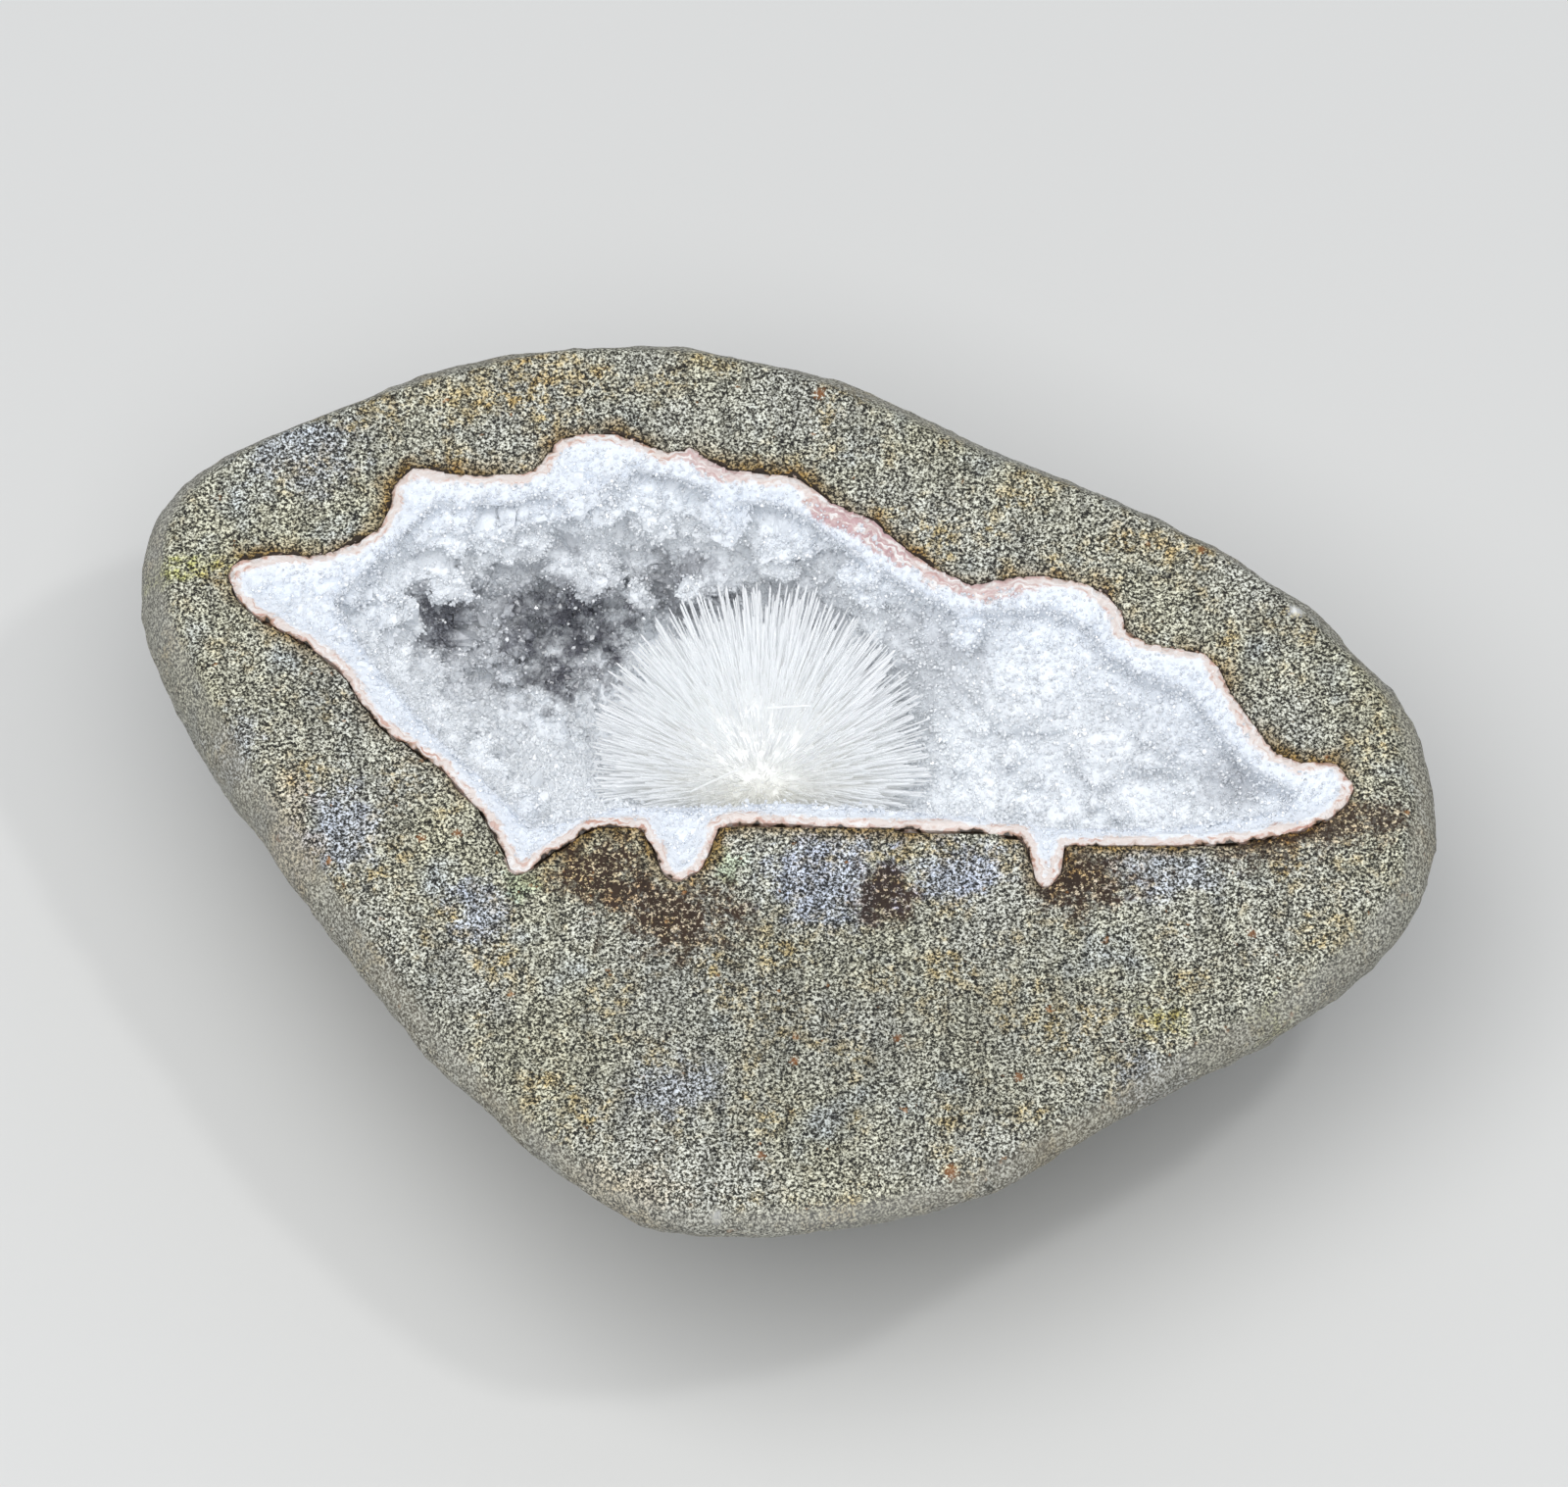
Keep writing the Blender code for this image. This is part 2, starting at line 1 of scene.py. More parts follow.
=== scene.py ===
# %% [markdown]
# # A scolecite specimen
# This notebook dresses a mineral specimen: half of a basalt nodule, sawn flat. Its hollow is lined
# with sugary quartz, and a half-ball of white scolecite needles grows from the hollow's lower wall.
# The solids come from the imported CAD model. They hold every size, and this script gives them the
# surface of real stone, crystal and needle.

import math

import bmesh
import bpy
import numpy as np
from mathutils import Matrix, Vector, noise
from mathutils.bvhtree import BVHTree


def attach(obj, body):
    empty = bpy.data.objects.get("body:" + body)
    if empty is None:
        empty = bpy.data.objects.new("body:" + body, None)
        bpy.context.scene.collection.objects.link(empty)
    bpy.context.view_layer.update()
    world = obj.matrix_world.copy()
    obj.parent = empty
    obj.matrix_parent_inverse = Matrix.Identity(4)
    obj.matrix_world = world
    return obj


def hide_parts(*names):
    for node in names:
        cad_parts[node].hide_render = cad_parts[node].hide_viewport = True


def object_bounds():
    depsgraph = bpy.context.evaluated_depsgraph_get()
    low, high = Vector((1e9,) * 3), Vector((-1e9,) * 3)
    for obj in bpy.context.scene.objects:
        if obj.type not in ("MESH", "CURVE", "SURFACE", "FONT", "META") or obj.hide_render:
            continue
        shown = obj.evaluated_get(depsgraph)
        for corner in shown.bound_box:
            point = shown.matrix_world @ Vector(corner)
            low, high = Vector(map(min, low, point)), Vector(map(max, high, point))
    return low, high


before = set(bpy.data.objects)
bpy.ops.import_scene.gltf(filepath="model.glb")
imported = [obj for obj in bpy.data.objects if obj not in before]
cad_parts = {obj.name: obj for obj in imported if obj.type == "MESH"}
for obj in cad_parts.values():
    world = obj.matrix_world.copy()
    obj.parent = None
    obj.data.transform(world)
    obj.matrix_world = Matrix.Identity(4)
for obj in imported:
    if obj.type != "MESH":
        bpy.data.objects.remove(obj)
cad_low, cad_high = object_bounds()
MM = 0.001
FACE_LEVEL = cad_high.z
print("the stone measures", [round(side / MM, 1) for side in cad_high - cad_low], "mm")

# %% [markdown]
# ## Camera
# The photograph looks at the sawn face from its lower side, 28 degrees off the face's normal. A
# long lens from two and a half metres keeps the outline free of perspective, so a millimetre on
# the face has the same size all over the frame.

# %% Place the camera
VIEW_TILT = math.radians(28)
CAMERA_DISTANCE = 2.5
FRAME_WIDTH = 136 * MM
SENSOR_WIDTH = 36.0
AIM_ON_FACE = Vector((0.1, -2.1, 0.0)) * MM
AIM_ABOVE_FACE_POINT = 3.87 * MM

toward_camera = Vector((0, -math.sin(VIEW_TILT), math.cos(VIEW_TILT)))
picture_up = Vector((0, math.cos(VIEW_TILT), math.sin(VIEW_TILT)))
aim = AIM_ON_FACE + Vector((0, 0, FACE_LEVEL)) + picture_up * AIM_ABOVE_FACE_POINT
bpy.ops.object.camera_add(location=aim + toward_camera * CAMERA_DISTANCE, rotation=(VIEW_TILT, 0, 0))
camera = bpy.context.object
camera.name = "camera"
camera.data.sensor_width = SENSOR_WIDTH
camera.data.lens = SENSOR_WIDTH * CAMERA_DISTANCE / FRAME_WIDTH
camera.data.clip_start = 0.05
bpy.context.scene.camera = camera
print("the lens is", round(camera.data.lens), "mm")

# %% [markdown]
# ## Light and floor
# The stone lies on a pale floor under a large soft lamp, with a small bright lamp beside it. The
# large lamp shows the forms softly, and the small one is what the crystals' flat faces flash back.

# %% Set up the studio
AIR_COLOUR = (0.93, 0.96, 1.0, 1.0)
AIR_STRENGTH = 0.50
FLOOR_COLOUR = (0.66, 0.66, 0.65, 1.0)
FLOOR_ROUGHNESS = 0.7
FLOOR_SIDE = 4.0

scene = bpy.context.scene
scene.view_settings.view_transform = "Standard"
scene.view_settings.look = "None"

world = bpy.data.worlds.new("studio air")
scene.world = world
world.use_nodes = True
air = world.node_tree.nodes["Background"]
air.inputs["Color"].default_value = AIR_COLOUR
air.inputs["Strength"].default_value = AIR_STRENGTH


def add_lamp(name, position, size, power):
    """A square white lamp that faces the stone; metres and watts."""
    bpy.ops.object.light_add(type="AREA", location=position)
    lamp = bpy.context.object
    lamp.name = name
    lamp.data.size = size
    lamp.data.energy = power
    toward_stone = Vector((0, 0, FACE_LEVEL)) - Vector(position)
    lamp.rotation_euler = toward_stone.to_track_quat("-Z", "Y").to_euler()
    print("the", name, "gives", power, "watts from", round(toward_stone.length, 2), "metres away")


add_lamp("soft lamp", (-0.10, -0.26, 0.86), 0.60, 5.5)
add_lamp("sparkle lamp", (0.26, -0.12, 0.80), 0.05, 0.8)

bpy.ops.mesh.primitive_plane_add(size=FLOOR_SIDE, location=(0, 0, 0))
floor = bpy.context.object
floor.name = "floor"
floor_paint = bpy.data.materials.new("pale floor")
floor_paint.use_nodes = True
floor_shader = floor_paint.node_tree.nodes["Principled BSDF"]
floor_shader.inputs["Base Color"].default_value = FLOOR_COLOUR
floor_shader.inputs["Roughness"].default_value = FLOOR_ROUGHNESS
floor.data.materials.append(floor_paint)

# %% [markdown]
# ## Helpers for meshes
# A CAD node arrives as loose triangles and must not be changed, so each piece starts from a copy
# whose corners are merged.


# %% Copy and select
def select_only(*items):
    bpy.ops.object.select_all(action="DESELECT")
    for item in items:
        item.select_set(True)
    bpy.context.view_layer.objects.active = items[0]


def merged_copy(node, name):
    """A copy of a CAD node with its loose triangles joined at their corners."""
    piece = bpy.data.objects.new(name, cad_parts[node].data.copy())
    piece.data.materials.clear()
    scene.collection.objects.link(piece)
    select_only(piece)
    bpy.ops.object.mode_set(mode="EDIT")
    bpy.ops.mesh.select_all(action="SELECT")
    bpy.ops.mesh.remove_doubles(threshold=1e-6)
    bpy.ops.mesh.customdata_custom_splitnormals_clear()
    bpy.ops.object.mode_set(mode="OBJECT")
    return piece


# %% [markdown]
# Thousands of corners are read and moved as arrays, which is much faster than one at a time.
# Distances between the stone, its crust and its needles are asked of search trees made from the CAD
# solids. A number kept on each corner lets a material know where it is, for instance how deep.


# %% Read, move and label corners
WEIGHT_STEPS = 50


def corners_of(piece):
    """The mesh's vertices as rows of x, y, z."""
    corners = np.empty(len(piece.data.vertices) * 3, np.float32)
    piece.data.vertices.foreach_get("co", corners)
    return corners.reshape(-1, 3).astype(float)


def normals_of(piece):
    normals = np.empty(len(piece.data.vertices) * 3, np.float32)
    piece.data.vertex_normals.foreach_get("vector", normals)
    return normals.reshape(-1, 3).astype(float)


def move_corners(piece, corners):
    piece.data.vertices.foreach_set("co", corners.astype(np.float32).ravel())
    piece.data.update()


def search_tree(piece):
    bm = bmesh.new()
    bm.from_mesh(piece.data)
    tree = BVHTree.FromBMesh(bm)
    bm.free()
    return tree


def distances(tree, corners):
    return np.array([tree.find_nearest(Vector(corner))[3] for corner in corners])


def store_values(piece, name, values):
    """A number on each corner, which the piece's material can read."""
    attribute = piece.data.attributes.new(name, "FLOAT", "POINT")
    attribute.data.foreach_set("value", values.astype(np.float32))


def weigh(piece, name, weights):
    """A vertex group from an array of weights, rounded to a few steps to be quick."""
    group = piece.vertex_groups.new(name=name)
    steps = np.clip(np.round(weights * WEIGHT_STEPS), 0, WEIGHT_STEPS).astype(int)
    for step in range(1, WEIGHT_STEPS + 1):
        members = np.flatnonzero(steps == step)
        if len(members):
            group.add(members.tolist(), step / WEIGHT_STEPS, "REPLACE")


def smooth_step(values, low, high):
    """0 below the low value, 1 above the high one, and a soft rise in between."""
    share = np.clip((values - low) / (high - low), 0, 1)
    return share * share * (3 - 2 * share)


def triangles_in(piece):
    return sum(len(polygon.vertices) - 2 for polygon in piece.data.polygons)


# %% [markdown]
# Rough surfaces come from two modifiers. A voxel remesh makes small faces of one size all over, and
# a displacement then moves them in and out by a procedural texture. Both are applied at once, so the
# next step can measure the real surface.


# %% Remesh and displace
def apply_modifiers(piece):
    select_only(piece)
    for modifier in list(piece.modifiers):
        bpy.ops.object.modifier_apply(modifier=modifier.name)


def remesh(piece, voxel):
    modifier = piece.modifiers.new("even skin", "REMESH")
    modifier.mode = "VOXEL"
    modifier.voxel_size = voxel
    apply_modifiers(piece)


def displace(piece, texture_type, scale, strength, where, middle=0.5, angular=False):
    """Moves the surface in and out by a procedural texture, where the named group allows."""
    texture = bpy.data.textures.new(f"{piece.name} {texture_type.lower()} {scale / MM:.1f}", texture_type)
    texture.noise_scale = scale
    if angular:
        texture.distance_metric = "MANHATTAN"
    modifier = piece.modifiers.new(texture.name, "DISPLACE")
    modifier.texture = texture
    modifier.strength = strength
    modifier.mid_level = middle
    modifier.vertex_group = where
    apply_modifiers(piece)
    bpy.data.textures.remove(texture)


crust = merged_copy("quartz_crust", "quartz_crust_skin")
crust_solid_tree = search_tree(crust)
print("the CAD crust has", triangles_in(crust), "triangles")

# %% [markdown]
# ## The basalt nodule
# The nodule is a fine-grained lava, rounded outside and sawn flat across its hollow. The CAD copy
# has a coarse skin, so its sawn face is taken off, the skin is subdivided into a smooth boulder,
# and the face is filled again between the new rim and the hollow's edge. A remesh then gives even
# small faces all over, and weathering is displaced into the skin alone.

# %% Smooth the boulder's skin
STONE_VOXEL = 0.60 * MM
SKIN_SUBDIVISIONS = 3
FACE_SLACK = 0.01 * MM
UPWARD = 0.99
stone = merged_copy("basalt_matrix", "basalt_stone")
select_only(stone)
bpy.ops.object.mode_set(mode="EDIT")
bpy.ops.mesh.select_all(action="DESELECT")
stone_edit = bmesh.from_edit_mesh(stone.data)
for face in stone_edit.faces:
    middle = face.calc_center_median()
    face.select_set(face.normal.z > UPWARD and middle.z > FACE_LEVEL - FACE_SLACK)
bmesh.update_edit_mesh(stone.data)
bpy.ops.mesh.delete(type="ONLY_FACE")
bpy.ops.mesh.select_all(action="SELECT")
bpy.ops.mesh.delete_loose(use_verts=True, use_edges=True, use_faces=False)
bpy.ops.mesh.select_all(action="SELECT")
bpy.ops.mesh.tris_convert_to_quads()
bpy.ops.mesh.separate(type="LOOSE")
bpy.ops.object.mode_set(mode="OBJECT")
shells = sorted(bpy.context.selected_objects, key=lambda item: item.dimensions.x)
pocket, skin = shells[0], shells[-1]
print("the skin and the pocket have", len(skin.data.vertices), "and", len(pocket.data.vertices), "corners")

rounding = skin.modifiers.new("rounding", "SUBSURF")
rounding.levels = SKIN_SUBDIVISIONS
rounding.render_levels = SKIN_SUBDIVISIONS
apply_modifiers(skin)
select_only(skin, pocket)
bpy.ops.object.join()
stone = bpy.context.object
stone.name = "basalt_stone"
bpy.ops.object.mode_set(mode="EDIT")
bpy.ops.mesh.select_all(action="DESELECT")
bpy.ops.mesh.select_mode(type="EDGE")
bpy.ops.mesh.select_non_manifold()
bpy.ops.mesh.fill(use_beauty=False)
bpy.ops.mesh.select_mode(type="FACE")
bpy.ops.mesh.select_all(action="SELECT")
bpy.ops.mesh.normals_make_consistent(inside=False)
bpy.ops.object.mode_set(mode="OBJECT")
remesh(stone, STONE_VOXEL)
print("the stone has", triangles_in(stone), "triangles")

# %% Weather the skin and keep the face flat
# Width and height of the dents, the bumps and the roughness, in millimetres
WEATHERING = [(9.0, 1.1), (3.0, 0.5), (1.1, 0.22)]

corners = corners_of(stone)
contact = distances(crust_solid_tree, corners)
below_face = FACE_LEVEL - corners[:, 2]
skin_share = smooth_step(below_face, 0.2 * MM, 2.5 * MM) * smooth_step(contact, 1.5 * MM, 3 * MM)
weigh(stone, "skin", skin_share)
for width, height in WEATHERING:
    displace(stone, "CLOUDS", width * MM, height * MM, "skin")
stone.vertex_groups.clear()

corners = corners_of(stone)
corners[below_face < 0.16 * MM, 2] = FACE_LEVEL
corners[:, 2] = np.clip(corners[:, 2], 0.0, FACE_LEVEL)
move_corners(stone, corners)
store_values(stone, "contact", distances(crust_solid_tree, corners) / MM)
store_values(stone, "skin", smooth_step(FACE_LEVEL - corners[:, 2], 0.15 * MM, 1.2 * MM))
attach(stone, "root")
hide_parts("basalt_matrix")
flat_corners = np.count_nonzero(corners[:, 2] == FACE_LEVEL)
print(flat_corners, "of the stone's", len(corners), "corners lie on the cut")

# %% [markdown]
# ## The quartz crust
# Quartz grew inwards from the walls, so the crust is lumpy from far and sugary from near. The lumps
# come from displacing an even remesh of the CAD crust, on the side that faces the hollow. On the
# saw cut only the first millimetre, the rind, stays flat: behind it the crust rolls down inwards.

# %% Close the seam and roll the crust's edge inwards
CRUST_VOXEL = 0.40 * MM
RIND_WIDTH = 0.95 * MM
ROLL_WIDTH = 1.6 * MM
ROLL_DROP = 1.0 * MM
LUMP_NOISE = 700
SUGAR_NOISE = 2600
SEAM_WIDTH = 0.5 * MM
SEAM_PULL = 0.97
basalt_solid = merged_copy("basalt_matrix", "basalt_solid")
basalt_tree = search_tree(basalt_solid)
bpy.data.objects.remove(basalt_solid, do_unlink=True)
remesh(crust, CRUST_VOXEL)
corners = corners_of(crust)
normals = normals_of(crust)
nearest = [basalt_tree.find_nearest(Vector(corner)) for corner in corners]
from_basalt = np.array([found[3] for found in nearest])
below_face = FACE_LEVEL - corners[:, 2]
on_cut = smooth_step(normals[:, 2], 0.3, 0.8) * (1 - smooth_step(below_face, 0.4 * MM, 2.5 * MM))
uneven = np.array([noise.noise(Vector(corner) * LUMP_NOISE) for corner in corners])
sugary = np.array([noise.noise(Vector(corner) * SUGAR_NOISE) for corner in corners])
behind_rind = (from_basalt - RIND_WIDTH * (1 + 0.4 * uneven)) / ROLL_WIDTH
roll = np.clip(behind_rind, 0, 1) ** 0.7 * on_cut
corners[:, 2] -= ROLL_DROP * roll * (0.75 + 0.5 * uneven + 0.35 * sugary)
walls = np.array([found[0] for found in nearest])
seam = (from_basalt < SEAM_WIDTH) & (from_basalt > 1e-6)
corners[seam] += (walls[seam] - corners[seam]) * SEAM_PULL
move_corners(crust, corners)
print("the crust has", triangles_in(crust), "triangles")

# %% [markdown]
# The upper wall grew in larger, angular lobes, and the floor and the right-hand wall in low, soft
# ones. Cells measured along the axes instead of straight across give the angular lobes.

# %% Roughen the hollow's side of the crust
# Where, texture, width and height in millimetres, middle level, and whether the cells are angular
LOBES = [
    ("upper wall", "CLOUDS", 5.0, 1.5, 0.42, False),
    ("upper wall", "VORONOI", 3.6, -1.9, 0.5, True),
    ("upper wall", "VORONOI", 1.5, -0.5, 0.5, True),
    ("hollow side", "CLOUDS", 4.0, 0.8, 0.5, False),
    ("hollow side", "VORONOI", 1.5, -0.40, 0.4, False),
    ("hollow side", "CLOUDS", 0.9, 0.25, 0.5, False),
]

below_face = FACE_LEVEL - corners[:, 2]
inner_share = smooth_step(from_basalt, RIND_WIDTH, RIND_WIDTH + 0.9 * MM)
inner_share *= smooth_step(below_face, 0.2 * MM, 2.2 * MM)
upper_wall = smooth_step(corners[:, 1], 11 * MM, 17 * MM)
upper_wall *= 1 - 0.7 * smooth_step(corners[:, 0], 4 * MM, 14 * MM)
weigh(crust, "hollow side", inner_share)
weigh(crust, "upper wall", inner_share * upper_wall)
for where, texture, width, height, middle, angular in LOBES:
    displace(crust, texture, width * MM, height * MM, where, middle, angular)
crust.vertex_groups.clear()
corners = corners_of(crust)
corners[below_face < 0.05 * MM, 2] = FACE_LEVEL
corners[:, 2] = np.minimum(corners[:, 2], FACE_LEVEL)
move_corners(crust, corners)
from_basalt = distances(basalt_tree, corners)
store_values(crust, "from_basalt", from_basalt / MM)
store_values(crust, "depth", (FACE_LEVEL - corners[:, 2]) / MM)
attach(crust, "root")
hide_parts("quartz_crust")
crust_tree = search_tree(crust)
crust_depth = FACE_LEVEL - corners[:, 2].min()
print("the crust reaches", round(crust_depth / MM, 1), "mm below the saw cut")

# %% [markdown]
# A small crystal is modelled once and then copied with its own place, direction and size. The
# copies are written as one mesh, because thousands of objects would be slow. Each copy stays a
# closed shape of its own.


# %% Copy a shape many times into one mesh
def double_pyramid(sides):
    """Two pyramids base to base, from -1 to 1: its corners and its faces."""
    bpy.ops.mesh.primitive_cone_add(
        vertices=sides, radius1=1, depth=1, end_fill_type="TRIFAN", location=(0, 0, 0.5)
    )
    shape = bpy.context.object
    bpy.ops.object.transform_apply(location=True)
    for vertex in shape.data.vertices:
        if abs(vertex.co.x) + abs(vertex.co.y) < 0.01 and vertex.co.z < 0.5:
            vertex.co.z = -1
    return take_shape(shape)


def prism_point(sides, shoulder, taper):
    """A prism from -1 to the shoulder, with a point at 1: its corners and its faces."""
    bpy.ops.mesh.primitive_cylinder_add(vertices=sides, radius=1, depth=2, end_fill_type="NGON")
    shape = bpy.context.object
    bpy.ops.object.mode_set(mode="EDIT")
    edit = bmesh.from_edit_mesh(shape.data)
    top = max(edit.faces, key=lambda face: face.calc_center_median().z)
    tip = bmesh.ops.poke(edit, faces=[top])["verts"]
    for vert in edit.verts:
        if vert not in tip and vert.co.z > 0:
            vert.co = Vector((vert.co.x * taper, vert.co.y * taper, shoulder))
    bmesh.update_edit_mesh(shape.data)
    bpy.ops.object.mode_set(mode="OBJECT")
    return take_shape(shape)


def take_shape(shape):
    """The corners and faces of a modelled shape, which is then removed."""
    corners = corners_of(shape)
    faces = [tuple(polygon.vertices) for polygon in shape.data.polygons]
    bpy.data.objects.remove(shape, do_unlink=True)
    return corners, faces


def directions_to_axes(directions, turns):
    """For each direction, the three axes of a copy that points along it, turned about itself."""
    z_axes = directions / np.linalg.norm(directions, axis=1, keepdims=True)
    helper = np.where(np.abs(z_axes[:, 2:3]) > 0.9, (1.0, 0.0, 0.0), (0.0, 0.0, 1.0))
    x_axes = np.cross(helper, z_axes)
    x_axes /= np.linalg.norm(x_axes, axis=1, keepdims=True)
    y_axes = np.cross(z_axes, x_axes)
    cosine, sine = np.cos(turns)[:, None], np.sin(turns)[:, None]
    return x_axes * cosine + y_axes * sine, y_axes * cosine - x_axes * sine, z_axes


def many_copies(name, shape, places, directions, turns, widths, lengths):
    """One mesh of closed copies; widths and lengths are half sizes."""
    corners, faces = shape
    x_axes, y_axes, z_axes = directions_to_axes(directions, turns)
    copies = (
        places[:, None, :]
        + corners[None, :, 0:1] * (x_axes * widths[:, None])[:, None, :]
        + corners[None, :, 1:2] * (y_axes * widths[:, None])[:, None, :]
        + corners[None, :, 2:3] * (z_axes * lengths[:, None])[:, None, :]
    )
    starts = range(0, len(places) * len(corners), len(corners))
    all_faces = [tuple(corner + start for corner in face) for start in starts for face in faces]
    mesh = bpy.data.meshes.new(name)
    mesh.from_pydata(copies.reshape(-1, 3).tolist(), [], all_faces)
    piece = bpy.data.objects.new(name, mesh)
    scene.collection.objects.link(piece)
    return piece


# %% [markdown]
# Three sorts of quartz crystals sit on the crust: sugar, bright crystals and larger points. Each
# stands on a random corner of the crust's hollow side, more or less upright. Their widths follow a
# gamma distribution, in which most are alike and a few are large, as in real druse.

# %% Scatter crystals over the hollow's side
crust_corners = corners
crust_normals = normals_of(crust)
behind_the_rind = from_basalt > 0.8 * RIND_WIDTH
below_the_cut = FACE_LEVEL - crust_corners[:, 2] > 0.03 * MM
hollow_side = np.flatnonzero(behind_the_rind & below_the_cut)
print(len(hollow_side), "of the crust's", len(crust_corners), "corners face the hollow")


def scatter(seed, count, lean, widths, slimness, likely=None, spread=0.0, lift=0.0, growth=0.0):
    """Places, directions, turns, half widths and half lengths for crystals on the crust.

    Widths are a gamma's shape and its scale in millimetres, slimness is the least and the most
    length for a width, and growth is how much wider the crystals get in the deep recess.
    """
    chance = np.random.default_rng(seed)
    chosen = chance.choice(hollow_side, size=count, p=likely)
    places = crust_corners[chosen] + crust_normals[chosen] * lift
    if spread:
        places = places + chance.normal(0, spread, (count, 3))
    directions = crust_normals[chosen] + chance.normal(0, lean, (count, 3))
    half_widths = chance.gamma(*widths, count) * MM
    half_widths *= 1 + growth * smooth_step((FACE_LEVEL - places[:, 2]) / MM, 8, 16)
    half_lengths = half_widths * chance.uniform(*slimness, count)
    turns = chance.uniform(0, math.tau, count)
    return places, directions, turns, half_widths, half_lengths


# %% Spread the sugar
SUGAR_COUNT = 72000
SUGAR_PIECES = 5
SUGAR_WIDTHS = (8.0, 0.0165)
SUGAR_MARGIN = 0.005 * MM
sugar_copies = scatter(
    21, SUGAR_COUNT, lean=0.22, widths=SUGAR_WIDTHS, slimness=(0.9, 1.5), spread=0.16 * MM, growth=0.35
)
places = sugar_copies[0]
sugar_grain = double_pyramid(6)
shares = np.linspace(0, 1, SUGAR_PIECES + 1)[1:-1]
piece_of = np.searchsorted(np.quantile(places[:, 0], shares), places[:, 0])
sugar_pieces = []
for index in range(SUGAR_PIECES):
    mine = piece_of == index
    my_copies = [values[mine] for values in sugar_copies]
    sugar = many_copies(f"quartz_sugar_{index + 1}", sugar_grain, *my_copies)
    grain_corners = corners_of(sugar)
    grain_corners[:, 2] = np.minimum(grain_corners[:, 2], FACE_LEVEL - SUGAR_MARGIN)
    move_corners(sugar, grain_corners)
    store_values(sugar, "depth", (FACE_LEVEL - grain_corners[:, 2]) / MM)
    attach(sugar, "root")
    sugar_pieces.append(sugar)
    print(sugar.name, "has", triangles_in(sugar), "triangles")

# %% [markdown]
# Here and there a single crystal is large and clean enough to flash. These stand a little prouder
# than the sugar, and their finish is brighter.

# %% Add the bright crystals
GLINT_COUNT = 2600
GLINT_WIDTHS = (14.0, 0.0115)
GLINT_MARGIN = 0.01 * MM
glint_copies = scatter(33, GLINT_COUNT, lean=0.6, widths=GLINT_WIDTHS, slimness=(0.9, 1.3), lift=0.10 * MM)
places = glint_copies[0]
half_lengths = glint_copies[-1]
kept = places[:, 2] + half_lengths < FACE_LEVEL - GLINT_MARGIN
glints = many_copies("quartz_glints", sugar_grain, *[values[kept] for values in glint_copies])
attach(glints, "root")
print(glints.name, "has", triangles_in(glints), "triangles")

# %% [markdown]
# Where the walls had room, in the deep left end and under the ledges, the quartz grew into larger
# points, most of them about a millimetre long. They are a little clearer than the sugar.

# %% Stand larger points in the recess
POINT_COUNT = 900
POINT_WIDTHS = (7.0, 0.036)
POINT_MARGIN = 0.05 * MM
depth_of = (FACE_LEVEL - crust_corners[:, 2]) / MM
likely = smooth_step(depth_of, 10, 17) * smooth_step(-crust_corners[:, 0] / MM, 8, 16) + 0.004
likely = likely[hollow_side] / likely[hollow_side].sum()
point_copies = scatter(5, POINT_COUNT, lean=0.4, widths=POINT_WIDTHS, slimness=(1.3, 2.4), likely=likely)
places, directions, turns, half_widths, half_lengths = point_copies
tips = places + directions / np.linalg.norm(directions, axis=1, keepdims=True) * half_lengths[:, None]
kept = tips[:, 2] < FACE_LEVEL - POINT_MARGIN
quartz_point = prism_point(6, shoulder=0.35, taper=0.95)
points = many_copies("quartz_points", quartz_point, *[values[kept] for values in point_copies])
store_values(points, "depth", (FACE_LEVEL - corners_of(points)[:, 2]) / MM)
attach(points, "root")
print(points.name, "has", triangles_in(points), "triangles")

# %% [markdown]
# ## The scolecite spray
# Scolecite grows as thin stiff needles that start together and spread like a dandelion clock. Near
# the root they have merged into a solid ball, and only the outer third stands free. So there is a
# furry core, and thousands of thin four-sided prisms around it. Their directions are spread evenly
# over a ball, and a needle stops short of the crust and below the saw cut.

# %% Find how long each needle can be
SPRAY_ROOT = Vector((-1.9, 6.3, 27.0)) * MM
SPRAY_AXIS = Vector((0.0, 0.55, 0.84)).normalized()
NEEDLE_LENGTH_ASIDE = 15.0 * MM
NEEDLE_LENGTH_AHEAD = 18.6 * MM
CORE_RADIUS = 11.4 * MM
CRUST_MARGIN = 0.25 * MM
CUT_MARGIN = 0.45 * MM
FAR = 50 * MM
FLAT_AIM = 0.05


def full_lengths(aims):
    """The longest needle in each direction, were there no crust: longer along the axis."""
    ahead = np.clip(aims @ np.array(SPRAY_AXIS), 0, 1)
    return NEEDLE_LENGTH_ASIDE + (NEEDLE_LENGTH_AHEAD - NEEDLE_LENGTH_ASIDE) * ahead


def free_lengths(aims):
    """How far it is from the root to the crust or to the saw cut in each direction."""
    hits = [crust_tree.ray_cast(SPRAY_ROOT, Vector(aim), FAR) for aim in aims]
    to_crust = np.array([hit[3] if hit[0] else FAR for hit in hits]) - CRUST_MARGIN
    rise = np.maximum(aims[:, 2], FLAT_AIM)
    to_cut = (FACE_LEVEL - CUT_MARGIN - SPRAY_ROOT.z) / rise
    return np.minimum(to_crust, np.where(aims[:, 2] > FLAT_AIM, to_cut, 1.0))


# %% [markdown]
# The core is a fine ball that is pulled in or out along each direction. It stays smaller than the
# needles reach, and it stops where they stop.

